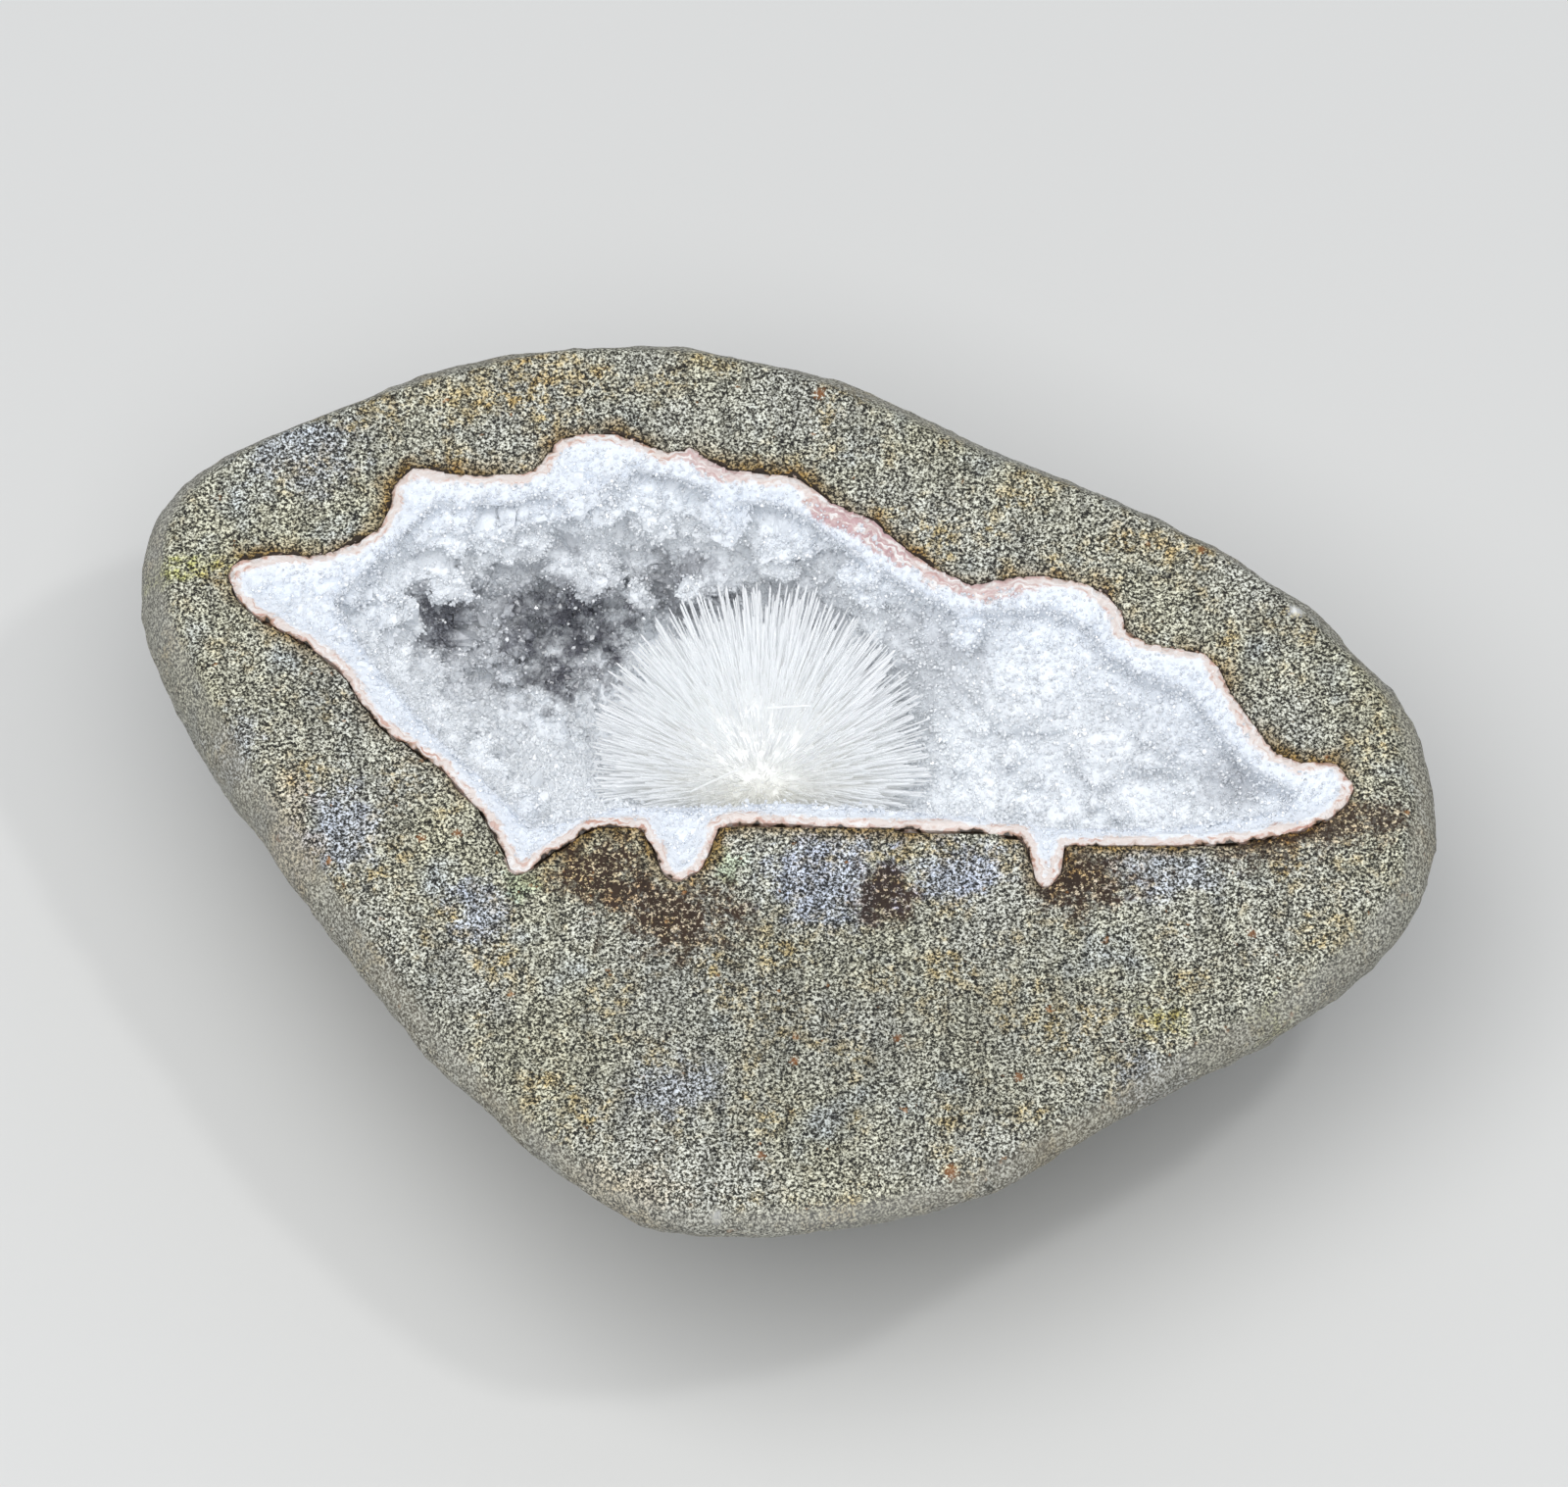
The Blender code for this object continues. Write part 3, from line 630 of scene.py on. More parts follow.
# %% Model the furry core
FUR_NOISE = 38
FUR_HEIGHT = 0.05
bpy.ops.object.select_all(action="DESELECT")
bpy.ops.mesh.primitive_ico_sphere_add(subdivisions=6, radius=CORE_RADIUS)
core = bpy.context.object
core.name = "scolecite_core"
aims = corners_of(core) / CORE_RADIUS
fur = np.array([noise.noise(Vector(aim) * FUR_NOISE) for aim in aims])
rounded = np.clip(full_lengths(aims) / NEEDLE_LENGTH_AHEAD, 0.8, 1)
core_radii = CORE_RADIUS * rounded * (1 + FUR_HEIGHT * fur)
core_radii = np.minimum(core_radii, free_lengths(aims))
move_corners(core, aims * core_radii[:, None] + np.array(SPRAY_ROOT))
store_values(core, "from_root", core_radii / MM)
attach(core, "root")
print("the core's radius is", round(core_radii.max() / MM, 1), "mm at most")

# %% [markdown]
# The directions follow a golden spiral, which covers a ball evenly, and a little chance hides the
# pattern. Most needles are short and a few are long, so the ball's edge looks ragged.

# %% Grow the needles
NEEDLE_COUNT = 11500
NEEDLE_HALF_WIDTH = 0.080 * MM
SHORTEST_SHARE = 0.76
NEEDLE_START = 7.0 * MM
LEAST_NEEDLE = 1.5 * MM
SPRAY_PIECES = 2
chance = np.random.default_rng(8)
steps = np.arange(NEEDLE_COUNT) + 0.5
polar = np.arccos(1 - 2 * steps / NEEDLE_COUNT)
golden = math.pi * (1 + math.sqrt(5)) * steps
aims = np.column_stack([np.cos(golden) * np.sin(polar), np.sin(golden) * np.sin(polar), np.cos(polar)])
aims += chance.normal(0, 0.03, aims.shape)
aims /= np.linalg.norm(aims, axis=1, keepdims=True)
length_share = SHORTEST_SHARE + (1 - SHORTEST_SHARE) * chance.random(NEEDLE_COUNT) ** 3.0
room = free_lengths(aims) * chance.uniform(0.96, 1.0, NEEDLE_COUNT)
reach = np.minimum(full_lengths(aims) * length_share, room)
grown = reach > NEEDLE_START + LEAST_NEEDLE
half_lengths = (reach - NEEDLE_START) / 2
middles = np.array(SPRAY_ROOT) + aims * ((reach + NEEDLE_START) / 2)[:, None]
stoutness = 0.65 + 2.2 * (length_share - SHORTEST_SHARE)
half_widths = NEEDLE_HALF_WIDTH * stoutness * chance.uniform(0.85, 1.5, NEEDLE_COUNT)
turns = chance.uniform(0, math.tau, NEEDLE_COUNT)
leaning = aims + chance.normal(0, 0.035, aims.shape)
needle_copies = (middles, leaning, turns, half_widths, half_lengths)
needle_shape = prism_point(4, shoulder=0.93, taper=0.9)
print(grown.sum(), "needles stand clear of the crust")

spray_pieces = [core]
for index in range(SPRAY_PIECES):
    mine = grown & (np.arange(NEEDLE_COUNT) % SPRAY_PIECES == index)
    my_copies = [values[mine] for values in needle_copies]
    needles = many_copies(f"scolecite_needles_{index + 1}", needle_shape, *my_copies)
    from_root = np.linalg.norm(corners_of(needles) - np.array(SPRAY_ROOT), axis=1)
    store_values(needles, "from_root", from_root / MM)
    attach(needles, "root")
    spray_pieces.append(needles)
    print(needles.name, "has", triangles_in(needles), "triangles")
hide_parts("scolecite_spray")

# %% [markdown]
# Three needles have broken off and lie across the ball.

# %% Lay the loose needles
# Both ends of each loose needle, in millimetres
LOOSE_NEEDLES = [
    ((-2.3, 6.6, 41.8), (-3.4, 4.9, 41.8)),
    ((-1.4, 5.9, 41.8), (2.5, 6.2, 41.7)),
    ((-3.1, 0.5, 41.4), (-8.2, -1.0, 39.1)),
]
LOOSE_HALF_WIDTH = 0.12 * MM
ends = np.array(LOOSE_NEEDLES) * MM
along = ends[:, 1] - ends[:, 0]
half_lengths = np.linalg.norm(along, axis=1) / 2
half_widths = np.full(len(ends), LOOSE_HALF_WIDTH)
loose_copies = (ends.mean(axis=1), along, np.zeros(len(ends)), half_widths, half_lengths)
loose = many_copies("scolecite_loose_needles", needle_shape, *loose_copies)
store_values(loose, "from_root", np.full(len(loose.data.vertices), 16.0))
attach(loose, "root")
spray_pieces.append(loose)
print("the loose needles are", [round(2 * half / MM, 1) for half in half_lengths], "mm long")

# %% [markdown]
# ## Materials
# Each finish is a node tree. These helpers keep the trees short: one adds a node with its inputs,
# and one mixes two colours by a mask. Effects that several finishes share are node groups.


# %% Helpers for node trees
class Tree:
    """Adds nodes to a node tree; an input is a value, or another node's output."""

    def __init__(self, tree):
        self.tree = tree

    def add(self, kind, inputs=(), output=0, **settings):
        node = self.tree.nodes.new(kind)
        for name, value in settings.items():
            setattr(node, name, value)
        for name, value in dict(inputs).items():
            self.set(node.inputs[name], value)
        return node.outputs[output]

    def set(self, socket, value):
        if isinstance(value, bpy.types.NodeSocket):
            self.tree.links.new(value, socket)
        elif isinstance(value, tuple) and socket.type == "RGBA":
            socket.default_value = (*value, 1.0)
        else:
            socket.default_value = value

    def math(self, operation, first, second=0.0):
        return self.add("ShaderNodeMath", {0: first, 1: second}, operation=operation)

    def mix(self, share, first, second, blend="MIX"):
        return self.add(
            "ShaderNodeMix", {0: share, 6: first, 7: second}, output=2, data_type="RGBA", blend_type=blend
        )

    def tinted(self, colour, tint):
        """A colour multiplied by another, as a stain does."""
        return self.mix(1.0, colour, tint, blend="MULTIPLY")

    def around_zero(self, value, amount, middle=0.5):
        """How far a value is above its middle, times an amount."""
        return self.math("MULTIPLY", self.math("SUBTRACT", value, middle), amount)

    def ramp(self, value, low, high, out_low=0.0, out_high=1.0):
        return self.add(
            "ShaderNodeMapRange",
            {"Value": value, "From Min": low, "From Max": high, "To Min": out_low, "To Max": out_high},
        )

    def position(self):
        return self.add("ShaderNodeTexCoord", output="Object")

    def noise(self, scale, detail=2.0, roughness=0.5, distortion=0.0, place=None):
        settings = {"Scale": scale, "Detail": detail, "Roughness": roughness, "Distortion": distortion}
        return self.add("ShaderNodeTexNoise", {"Vector": place or self.position()} | settings)

    def value_of(self, name):
        return self.add("ShaderNodeAttribute", output="Fac", attribute_name=name)


def new_group(name, inputs, outputs):
    """An empty node group: inputs are name: (socket type, value), outputs are name: socket type."""
    group = bpy.data.node_groups.new(name, "ShaderNodeTree")
    for title, (kind, value) in inputs.items():
        socket = group.interface.new_socket(title, in_out="INPUT", socket_type=kind)
        socket.default_value = value
    for title, kind in outputs.items():
        group.interface.new_socket(title, in_out="OUTPUT", socket_type=kind)
    entry = group.nodes.new("NodeGroupInput")
    leave = group.nodes.new("NodeGroupOutput")
    return group, entry, leave


def place_group(tree, group, inputs):
    """A group's node in a material's tree, for a group with more than one output."""
    node = tree.tree.nodes.new("ShaderNodeGroup")
    node.node_tree = group
    for name, value in inputs.items():
        tree.set(node.inputs[name], value)
    return node


def use_group(tree, group, inputs):
    return place_group(tree, group, inputs).outputs[0]


def new_material(name):
    material = bpy.data.materials.new(name)
    material.use_nodes = True
    return material, Tree(material.node_tree), material.node_tree.nodes["Principled BSDF"]


def set_finish(shader, values):
    """Constants such as the roughness, by the names of the shader's inputs."""
    for name, value in values.items():
        shader.inputs[name].default_value = value


# %% [markdown]
# ### Shared effects
# Stone and crystal both vary in soft blotches, and both get stains at known places. A blotch is a
# noise cut between two levels. A stain is a soft spot, and one noise frays all the stains of a
# material, which saves render time.

# %% Make the shared groups
STAIN_OUTER = 1.15
STAIN_INNER = 0.55
FLOAT = "NodeSocketFloat"
VECTOR = "NodeSocketVector"

blotch_group, entry, leave = new_group(
    "blotches", {"Scale": (FLOAT, 100.0), "Low": (FLOAT, 0.45), "High": (FLOAT, 0.6)}, {"Mask": FLOAT}
)
inside = Tree(blotch_group)
raw = inside.noise(entry.outputs["Scale"], detail=3.0, roughness=0.6)
inside.set(leave.inputs["Mask"], inside.ramp(raw, entry.outputs["Low"], entry.outputs["High"]))

stain_group, entry, leave = new_group(
    "stain",
    {"Place": (VECTOR, (0, 0, 0)), "Size": (VECTOR, (1, 1, 1)), "Fray": (FLOAT, 0.0)},
    {"Mask": FLOAT},
)
inside = Tree(stain_group)
away = inside.add(
    "ShaderNodeVectorMath", {0: inside.position(), 1: entry.outputs["Place"]}, operation="SUBTRACT"
)
scaled = inside.add("ShaderNodeVectorMath", {0: away, 1: entry.outputs["Size"]}, operation="DIVIDE")
length = inside.add("ShaderNodeVectorMath", {0: scaled}, output="Value", operation="LENGTH")
length = inside.math("ADD", length, entry.outputs["Fray"])
inside.set(leave.inputs["Mask"], inside.ramp(length, STAIN_OUTER, STAIN_INNER))


def fray_of(tree, amount):
    """A noise around zero that frays the edges of a material's stains."""
    return tree.around_zero(tree.noise(420.0, 4.0, 0.75), amount)


def patch(tree, place, half_size, fray):
    """The mask of one stain, from its place in metres and its half sizes in millimetres."""
    size = Vector(half_size) * MM
    return use_group(tree, stain_group, {"Place": place, "Size": size, "Fray": fray})


print("a stain fades from", STAIN_INNER, "to", STAIN_OUTER, "of its half size")

# %% [markdown]
# The rind grew as thin layers of chalcedony, one over the other, that bulge into the basalt in small
# lobes. The group takes the distance from the contact, in millimetres into the basalt, and bends it
# by two sizes of round cells. The stone and the crust both use it, so the drawn contact runs on
# from one mesh to the other.

# %% Make the rind's group
RIND_CREAM = (0.73, 0.655, 0.62)
RIND_SALMON = (0.56, 0.335, 0.27)
RIND_MAUVE = (0.53, 0.35, 0.36)
RIND_BROWN = (0.30, 0.17, 0.10)
RIND_WHITE = (0.84, 0.83, 0.83)

# Places on the saw cut are measured from a point this many millimetres above the box's middle
ZERO_POINT_Y = -2.1

# Where the rind is wide and mauve: (right, up), half sizes in millimetres and strength
MAUVE_PLACES = [
    ((7.5, 25.5), (8.5, 5.0, 9.0), 1.0),
    ((-6.5, 32.5), (3.5, 3.0, 9.0), 0.6),
    ((16.5, 19.2), (6.5, 4.5, 9.0), 0.6),
]


def face_point(right, up, down=0.0):
    """A place on the saw cut or below it, from millimetres right of, above and off the zero point."""
    return Vector((right, up + ZERO_POINT_Y, down)) * MM + Vector((0, 0, FACE_LEVEL))


rind_group, entry, leave = new_group(
    "rind layers",
    {"Distance": (FLOAT, 0.0)},
    {"Into basalt": FLOAT, "Mauve": FLOAT, "Colour": "NodeSocketColor"},
)
inside = Tree(rind_group)
lobes = inside.add("ShaderNodeTexVoronoi", {"Vector": inside.position(), "Scale": 820.0})
small_lobes = inside.add("ShaderNodeTexVoronoi", {"Vector": inside.position(), "Scale": 2100.0})
slow = inside.noise(240.0, 2.0)
bulge = inside.around_zero(lobes, -0.75, middle=0.45)
bulge = inside.math("ADD", bulge, inside.around_zero(small_lobes, -0.34, middle=0.45))
bulge = inside.math("ADD", bulge, inside.around_zero(slow, 0.9, middle=0.35))
into_basalt = inside.math("SUBTRACT", entry.outputs["Distance"], bulge)
into_rind = inside.math("MULTIPLY", into_basalt, -1.0)
ripple = inside.math("MULTIPLY", inside.noise(900.0, 2.0), 0.5)
across = inside.math("MULTIPLY", inside.math("ADD", into_rind, ripple), 3.0)
layer_place = inside.add("ShaderNodeCombineXYZ", {"X": across, "Y": inside.math("MULTIPLY", slow, 5.0)})
layers = inside.noise(1.0, 1.5, place=layer_place)
stretch = use_group(inside, blotch_group, {"Scale": 95.0, "Low": 0.40, "High": 0.62})
line_strength = inside.math("ADD", 0.5, inside.math("MULTIPLY", stretch, 0.5))
lines = inside.math("MULTIPLY", inside.ramp(layers, 0.53, 0.60), line_strength)
rind = inside.mix(lines, RIND_CREAM, RIND_SALMON)
rind = inside.mix(inside.ramp(layers, 0.42, 0.34, 0.0, 0.8), rind, RIND_WHITE)
outer_line = inside.math("MULTIPLY", inside.ramp(into_rind, 0.22, 0.04), line_strength)
rind = inside.mix(outer_line, rind, RIND_BROWN)
fray = fray_of(inside, 1.6)
mauve = 0.0
for where, half_size, strength in MAUVE_PLACES:
    mask = patch(inside, face_point(*where), half_size, fray)
    mauve = inside.math("MAXIMUM", mauve, inside.math("MULTIPLY", mask, strength))
mauve_layers = inside.math("MULTIPLY", mauve, inside.ramp(layers, 0.38, 0.54))
rind = inside.mix(mauve_layers, rind, RIND_MAUVE)
inside.set(leave.inputs["Into basalt"], into_basalt)
inside.set(leave.inputs["Mauve"], mauve)
inside.set(leave.inputs["Colour"], rind)
print("the rind's group has", len(rind_group.nodes), "nodes")

# %% [markdown]
# ### Basalt
# The sawn face is a salt-and-pepper of pale feldspar and dark grains, a quarter of a millimetre
# across. Over that lie ochre and olive stains, blue-grey and rust-brown patches near the hollow,
# and a dark line with a brown halo where the basalt meets the rind.

# %% Mix the basalt's grain
GRAIN_DARK = (0.016, 0.016, 0.015)
GRAIN_MIDDLE = (0.165, 0.162, 0.130)
GRAIN_LIGHT = (0.72, 0.73, 0.665)
WIDE_TINT = (1.0, 0.965, 0.80)
BROWN_TINT = (1.0, 0.80, 0.47)
BLUE_TINT = (0.95, 1.0, 1.10)

basalt, tree, shader = new_material("basalt")
grain = tree.noise(4150.0, detail=2.0, roughness=0.7, distortion=0.3)
speckle = tree.noise(1500.0, detail=3.0, roughness=0.65)
colour = tree.mix(tree.ramp(grain, 0.425, 0.48), GRAIN_DARK, GRAIN_MIDDLE)
colour = tree.mix(tree.ramp(grain, 0.49, 0.62), colour, GRAIN_LIGHT)
colour = tree.mix(tree.ramp(speckle, 0.59, 0.70, 0.0, 0.7), colour, GRAIN_DARK)
mottle = tree.ramp(tree.noise(900.0, 3.0, 0.7), 0.44, 0.58)
wide = use_group(tree, blotch_group, {"Scale": 70.0, "Low": 0.40, "High": 0.66})
tint = tree.mix(wide, (1, 1, 1), WIDE_TINT)
brown = use_group(tree, blotch_group, {"Scale": 200.0, "Low": 0.48, "High": 0.66})
tint = tree.mix(tree.math("MULTIPLY", brown, mottle), tint, BROWN_TINT)
blue = use_group(tree, blotch_group, {"Scale": 140.0, "Low": 0.54, "High": 0.70})
tint = tree.mix(blue, tint, BLUE_TINT)
colour = tree.tinted(colour, tint)
print("the basalt's grain has", len(tree.tree.nodes), "nodes")

# %% [markdown]
# The stains are listed by where they lie on the saw cut, in millimetres right of and above the zero
# point. Each one tints the grain instead of covering it, as iron that soaked in does; the first and widest
# is painted shade that darkens the lower middle of the cut.

# %% Stain the saw cut
RUST = (1.05, 0.88, 0.73)
RUST_GRAIN = (0.034, 0.019, 0.011)
BLUE_GREY = (0.96, 1.04, 1.42)
PALE_GREEN = (0.99, 1.12, 0.97)
OLIVE = (0.92, 0.93, 0.46)
OCHRE = (1.08, 0.88, 0.55)
LOWER_FACE_SHADE = (0.80, 0.80, 0.79)
TAN = (1.10, 0.95, 0.80)
RUST_SPOT = (0.30, 0.13, 0.035)
STAIN_DEPTH = 9.0

# Where (right, up), half sizes, tint and strength
STAINS = [
    # painted shade: a wide darkening over the lower middle of the saw cut
    ((6.0, -24.0), (30.0, 13.0), LOWER_FACE_SHADE, 0.9),
    ((-16.0, -8.4), (5.0, 3.6), RUST, 1.0),
    ((-9.0, -12.6), (6.5, 4.2), RUST, 1.0),
    ((8.8, -10.4), (3.0, 3.2), RUST, 1.0),
    ((26.0, -9.2), (4.6, 3.6), RUST, 1.0),
    ((41.0, -5.5), (4.5, 2.2), RUST, 0.8),
    ((48.0, -3.2), (6.5, 3.0), RUST, 0.9),
    ((3.6, -9.3), (5.5, 5.0), BLUE_GREY, 1.0),
    ((14.6, -8.2), (5.0, 3.4), BLUE_GREY, 1.0),
    ((-43.0, -5.0), (3.0, 7.0), TAN, 0.8),
    ((-15.0, -39.0), (7.0, 3.0), TAN, 0.6),
    ((-26.3, -11.6), (3.0, 3.0), BLUE_GREY, 0.9),
    ((-38.5, -4.0), (4.0, 4.4), BLUE_GREY, 0.7),
    ((-48.0, 4.5), (3.0, 3.6), BLUE_GREY, 0.6),
    ((33.0, -8.0), (5.0, 3.4), BLUE_GREY, 0.6),
    ((-42.0, 33.0), (5.5, 3.6), BLUE_GREY, 0.5),
    ((32.0, -28.5), (4.0, 3.0), BLUE_GREY, 0.5),
    ((-8.9, -29.3), (4.0, 3.0), BLUE_GREY, 0.5),
    ((-22.6, -9.6), (1.6, 2.0), PALE_GREEN, 1.0),
    ((-4.6, -7.6), (1.8, 1.6), PALE_GREEN, 1.0),
    ((-51.5, 21.8), (5.5, 1.5), OLIVE, 1.0),
    ((33.0, -22.8), (3.0, 2.0), OLIVE, 0.8),
    ((43.3, -22.3), (3.0, 2.0), OLIVE, 0.8),
    ((-28.0, 38.5), (4.5, 2.6), OCHRE, 0.9),
    ((-19.3, 41.5), (4.0, 2.2), OCHRE, 0.9),
    ((-6.2, 42.5), (3.0, 1.8), OCHRE, 0.8),
    ((35.5, 24.0), (6.0, 2.4), OCHRE, 0.7),
]
fray = fray_of(tree, 3.2)
rust_grain = tree.noise(2100.0, 2.0, 0.7)
for where, (half_x, half_y), stain, strength in STAINS:
    mask = patch(tree, face_point(*where), (half_x, half_y, STAIN_DEPTH), fray)
    stained = tree.tinted(colour, stain)
    if stain in (OCHRE, OLIVE):
        mask = tree.math("MULTIPLY", mask, tree.ramp(mottle, 0.0, 1.0, 0.25, 1.0))
    if stain is RUST:
        stained = tree.mix(tree.ramp(rust_grain, 0.50, 0.56), RUST_GRAIN, stained)
    colour = tree.mix(tree.math("MULTIPLY", mask, strength), colour, stained)
rust_spots = use_group(tree, blotch_group, {"Scale": 620.0, "Low": 0.68, "High": 0.74})
colour = tree.mix(tree.math("MULTIPLY", rust_spots, 0.7), colour, RUST_SPOT)
print(len(STAINS), "stains lie on the saw cut")

# %% [markdown]
# A few single marks are large enough to be told apart: black pits where a gas bubble was, their black
# being painted shade of the hole, rusty specks of an iron mineral, and two white chips.

# %% Mark the saw cut
# painted shade: the pits are flat black spots that stand for the shade inside each small hole
PIT_SHADE = (0.012, 0.012, 0.012)
RUSTY = (0.20, 0.08, 0.025)
CHIP = (0.85, 0.86, 0.86)
MARK_DEPTH = 2.0

# Where (right, up), half size and colour
MARKS = [
    ((2.0, 34.1), 0.45, PIT_SHADE),
    ((33.3, 21.0), 0.55, PIT_SHADE),
    ((-37.3, 26.6), 0.45, PIT_SHADE),
    ((9.5, -28.5), 0.40, PIT_SHADE),
    ((4.3, -32.0), 0.40, PIT_SHADE),
    ((-10.0, 41.3), 0.40, PIT_SHADE),
    ((-36.1, -9.7), 0.45, PIT_SHADE),
    ((-28.2, -4.4), 0.40, RUSTY),
    ((-31.3, -4.9), 0.40, RUSTY),
    ((1.0, -26.6), 0.40, RUSTY),
    ((9.9, -24.4), 0.40, RUSTY),
    ((-1.9, -35.8), 0.40, RUSTY),
    ((14.5, -37.3), 0.60, RUSTY),
    ((20.4, -28.2), 0.40, RUSTY),
    ((40.6, -14.2), 0.45, RUSTY),
    ((3.2, 39.0), 0.50, RUSTY),
    ((36.5, 23.6), 0.45, RUSTY),
    ((44.7, 17.6), 0.60, CHIP),
    ((-5.7, -41.3), 0.50, CHIP),
]
small_fray = tree.around_zero(grain, 3.0)
for where, half_size, mark in MARKS:
    mask = patch(tree, face_point(*where), (half_size, half_size, MARK_DEPTH), small_fray)
    colour = tree.mix(tree.math("MULTIPLY", mask, 0.8), colour, mark)
print(len(MARKS), "marks lie on the saw cut")

# %% [markdown]
# The saw left faint scratches that run up and down the face. They are a noise squeezed across and
# drawn out along the cut.

# %% Scratch the saw cut
SCRATCH_LIGHT = (1.55, 1.55, 1.5)
SCRATCH_DARK = (0.55, 0.55, 0.55)
stretched = tree.add("ShaderNodeMapping", {"Vector": tree.position(), "Scale": (1.0, 0.09, 0.3)})
scratches = tree.noise(1300.0, 2.0, 0.6, place=stretched)
light_share = tree.ramp(scratches, 0.42, 0.62, 0.0, 0.34)
colour = tree.mix(light_share, colour, tree.tinted(colour, SCRATCH_LIGHT))
dark_share = tree.ramp(scratches, 0.50, 0.36, 0.0, 0.40)
colour = tree.mix(dark_share, colour, tree.tinted(colour, SCRATCH_DARK))

# %% [markdown]
# Iron also gathered where basalt and quartz meet: a broken dark line with a brown halo. The mesh
# knows how far each corner is from the crust, and a noise frays that distance.

# %% Draw the contact line
HALO = (0.55, 0.36, 0.14)
CONTACT_LINE = (0.028, 0.018, 0.011)
contact = tree.value_of("contact")
rind_node = place_group(tree, rind_group, {"Distance": contact})
into_basalt = rind_node.outputs["Into basalt"]
rind = rind_node.outputs["Colour"]
fray = tree.around_zero(tree.noise(520.0, 4.0, 0.65), 3.0)
broken = use_group(tree, blotch_group, {"Scale": 130.0, "Low": 0.38, "High": 0.58})
halo = tree.math("MULTIPLY", tree.ramp(tree.math("ADD", into_basalt, fray), 2.0, 0.6), broken)
colour = tree.mix(halo, colour, tree.tinted(colour, HALO))
height_on_face = tree.add("ShaderNodeSeparateXYZ", {"Vector": tree.position()}, output="Y")
upper = tree.ramp(height_on_face, 2 * MM, 12 * MM, 0.25, 1.0)
line_width = tree.math("MULTIPLY", tree.ramp(broken, 0.0, 1.0, 0.12, 0.46), upper)
line = tree.ramp(tree.math("SUBTRACT", line_width, into_basalt), 0.0, 0.07)
line = tree.math("MULTIPLY", line, tree.ramp(upper, 0.25, 1.0, 0.45, 1.0))
colour = tree.mix(line, colour, CONTACT_LINE)
colour = tree.mix(tree.ramp(into_basalt, 0.06, -0.02), colour, rind)
print("with the contact line there are", len(tree.tree.nodes), "nodes")

# %% [markdown]
# Outside the saw cut the stone has its own old skin, duller and browner than fresh basalt. It is
# weathered in wide patches, worn pale in others, and pitted all over, the pits being small dark spots of
# painted shade. Every patch is a blotch with a colour of its own, laid over the grain.

# %% Colour the old skin
SKIN_DARK = (0.10, 0.098, 0.085)
SKIN_LIGHT = (0.50, 0.49, 0.43)
SKIN_SHARE = 0.6

# Scale, lower and upper level of the blotches, strength and colour
SKIN_PATCHES = [
    (60.0, 0.40, 0.70, 0.6, (0.26, 0.22, 0.155)),
    (34.0, 0.50, 0.62, 0.45, (0.36, 0.36, 0.35)),
    # painted shade: small dark spots that stand for the shade inside the skin's pits
    (420.0, 0.66, 0.72, 0.8, (0.055, 0.052, 0.045)),
]
skin_colour = tree.mix(tree.ramp(grain, 0.35, 0.65), SKIN_DARK, SKIN_LIGHT)
for scale, low, high, strength, patch_colour in SKIN_PATCHES:
    mask = use_group(tree, blotch_group, {"Scale": scale, "Low": low, "High": high})
    skin_colour = tree.mix(tree.math("MULTIPLY", mask, strength), skin_colour, patch_colour)
colour = tree.mix(tree.math("MULTIPLY", tree.value_of("skin"), SKIN_SHARE), colour, skin_colour)
tree.set(shader.inputs["Base Color"], colour)
tree.set(shader.inputs["Roughness"], tree.ramp(grain, 0.3, 0.7, 0.85, 0.6))
bump = tree.add("ShaderNodeBump", {"Height": grain, "Strength": 0.4, "Distance": 0.12 * MM})
tree.set(shader.inputs["Normal"], bump)
set_finish(shader, {"Specular IOR Level": 0.35})
stone.data.materials.append(basalt)
print("the basalt's material has", len(tree.tree.nodes), "nodes")

# %% [markdown]
# ### Quartz and its rind
# Quartz is colourless, and the crust looks white because its thousands of faces scatter the light.
# Deep in the hollow it turns a cool grey, partly as clearer quartz and partly as painted shade in the
# recess and under the ledges. On the sawn face, the first millimetre beside the basalt
# is the rind: cream and salmon chalcedony in thin wavy layers.

# %% Mix the quartz white
QUARTZ_RIM_SHADE = (0.80, 0.84, 0.90)
QUARTZ_WHITE = (0.925, 0.955, 0.99)
QUARTZ_GREY = (0.72, 0.745, 0.79)
QUARTZ_CLEAR_AND_SHADE = (0.12, 0.122, 0.145)
SPECK_BLACK = (0.02, 0.02, 0.022)
SPECK_DEPTH = 3.0
HOLLOW_GLOW = 0.02

# Where the quartz is darkened, partly as clearer quartz and partly as painted shade in the recess and
# under the ledges: the place and the half sizes in millimetres, and how dark it is
CLEAR_AND_SHADED_PLACES = [
    ((-23.0, 24.0, -15.0), (14.0, 7.5, 9.0), 0.32),
    ((-18.4, 23.8, -17.0), (6.6, 5.2, 7.5), 0.97),
    ((-31.4, 24.2, -14.0), (4.6, 3.2, 5.5), 0.90),
    ((-8.5, 28.0, -15.0), (5.0, 3.0, 5.0), 0.6),
    ((4.0, 26.0, -12.0), (10.0, 5.0, 7.0), 0.30),
    ((14.0, 18.0, -10.0), (8.0, 6.0, 7.0), 0.30),
    ((38.0, 2.5, -4.0), (5.0, 2.4, 4.0), 0.35),
    ((26.0, 7.0, -7.0), (14.0, 7.0, 8.0), 0.12),
]

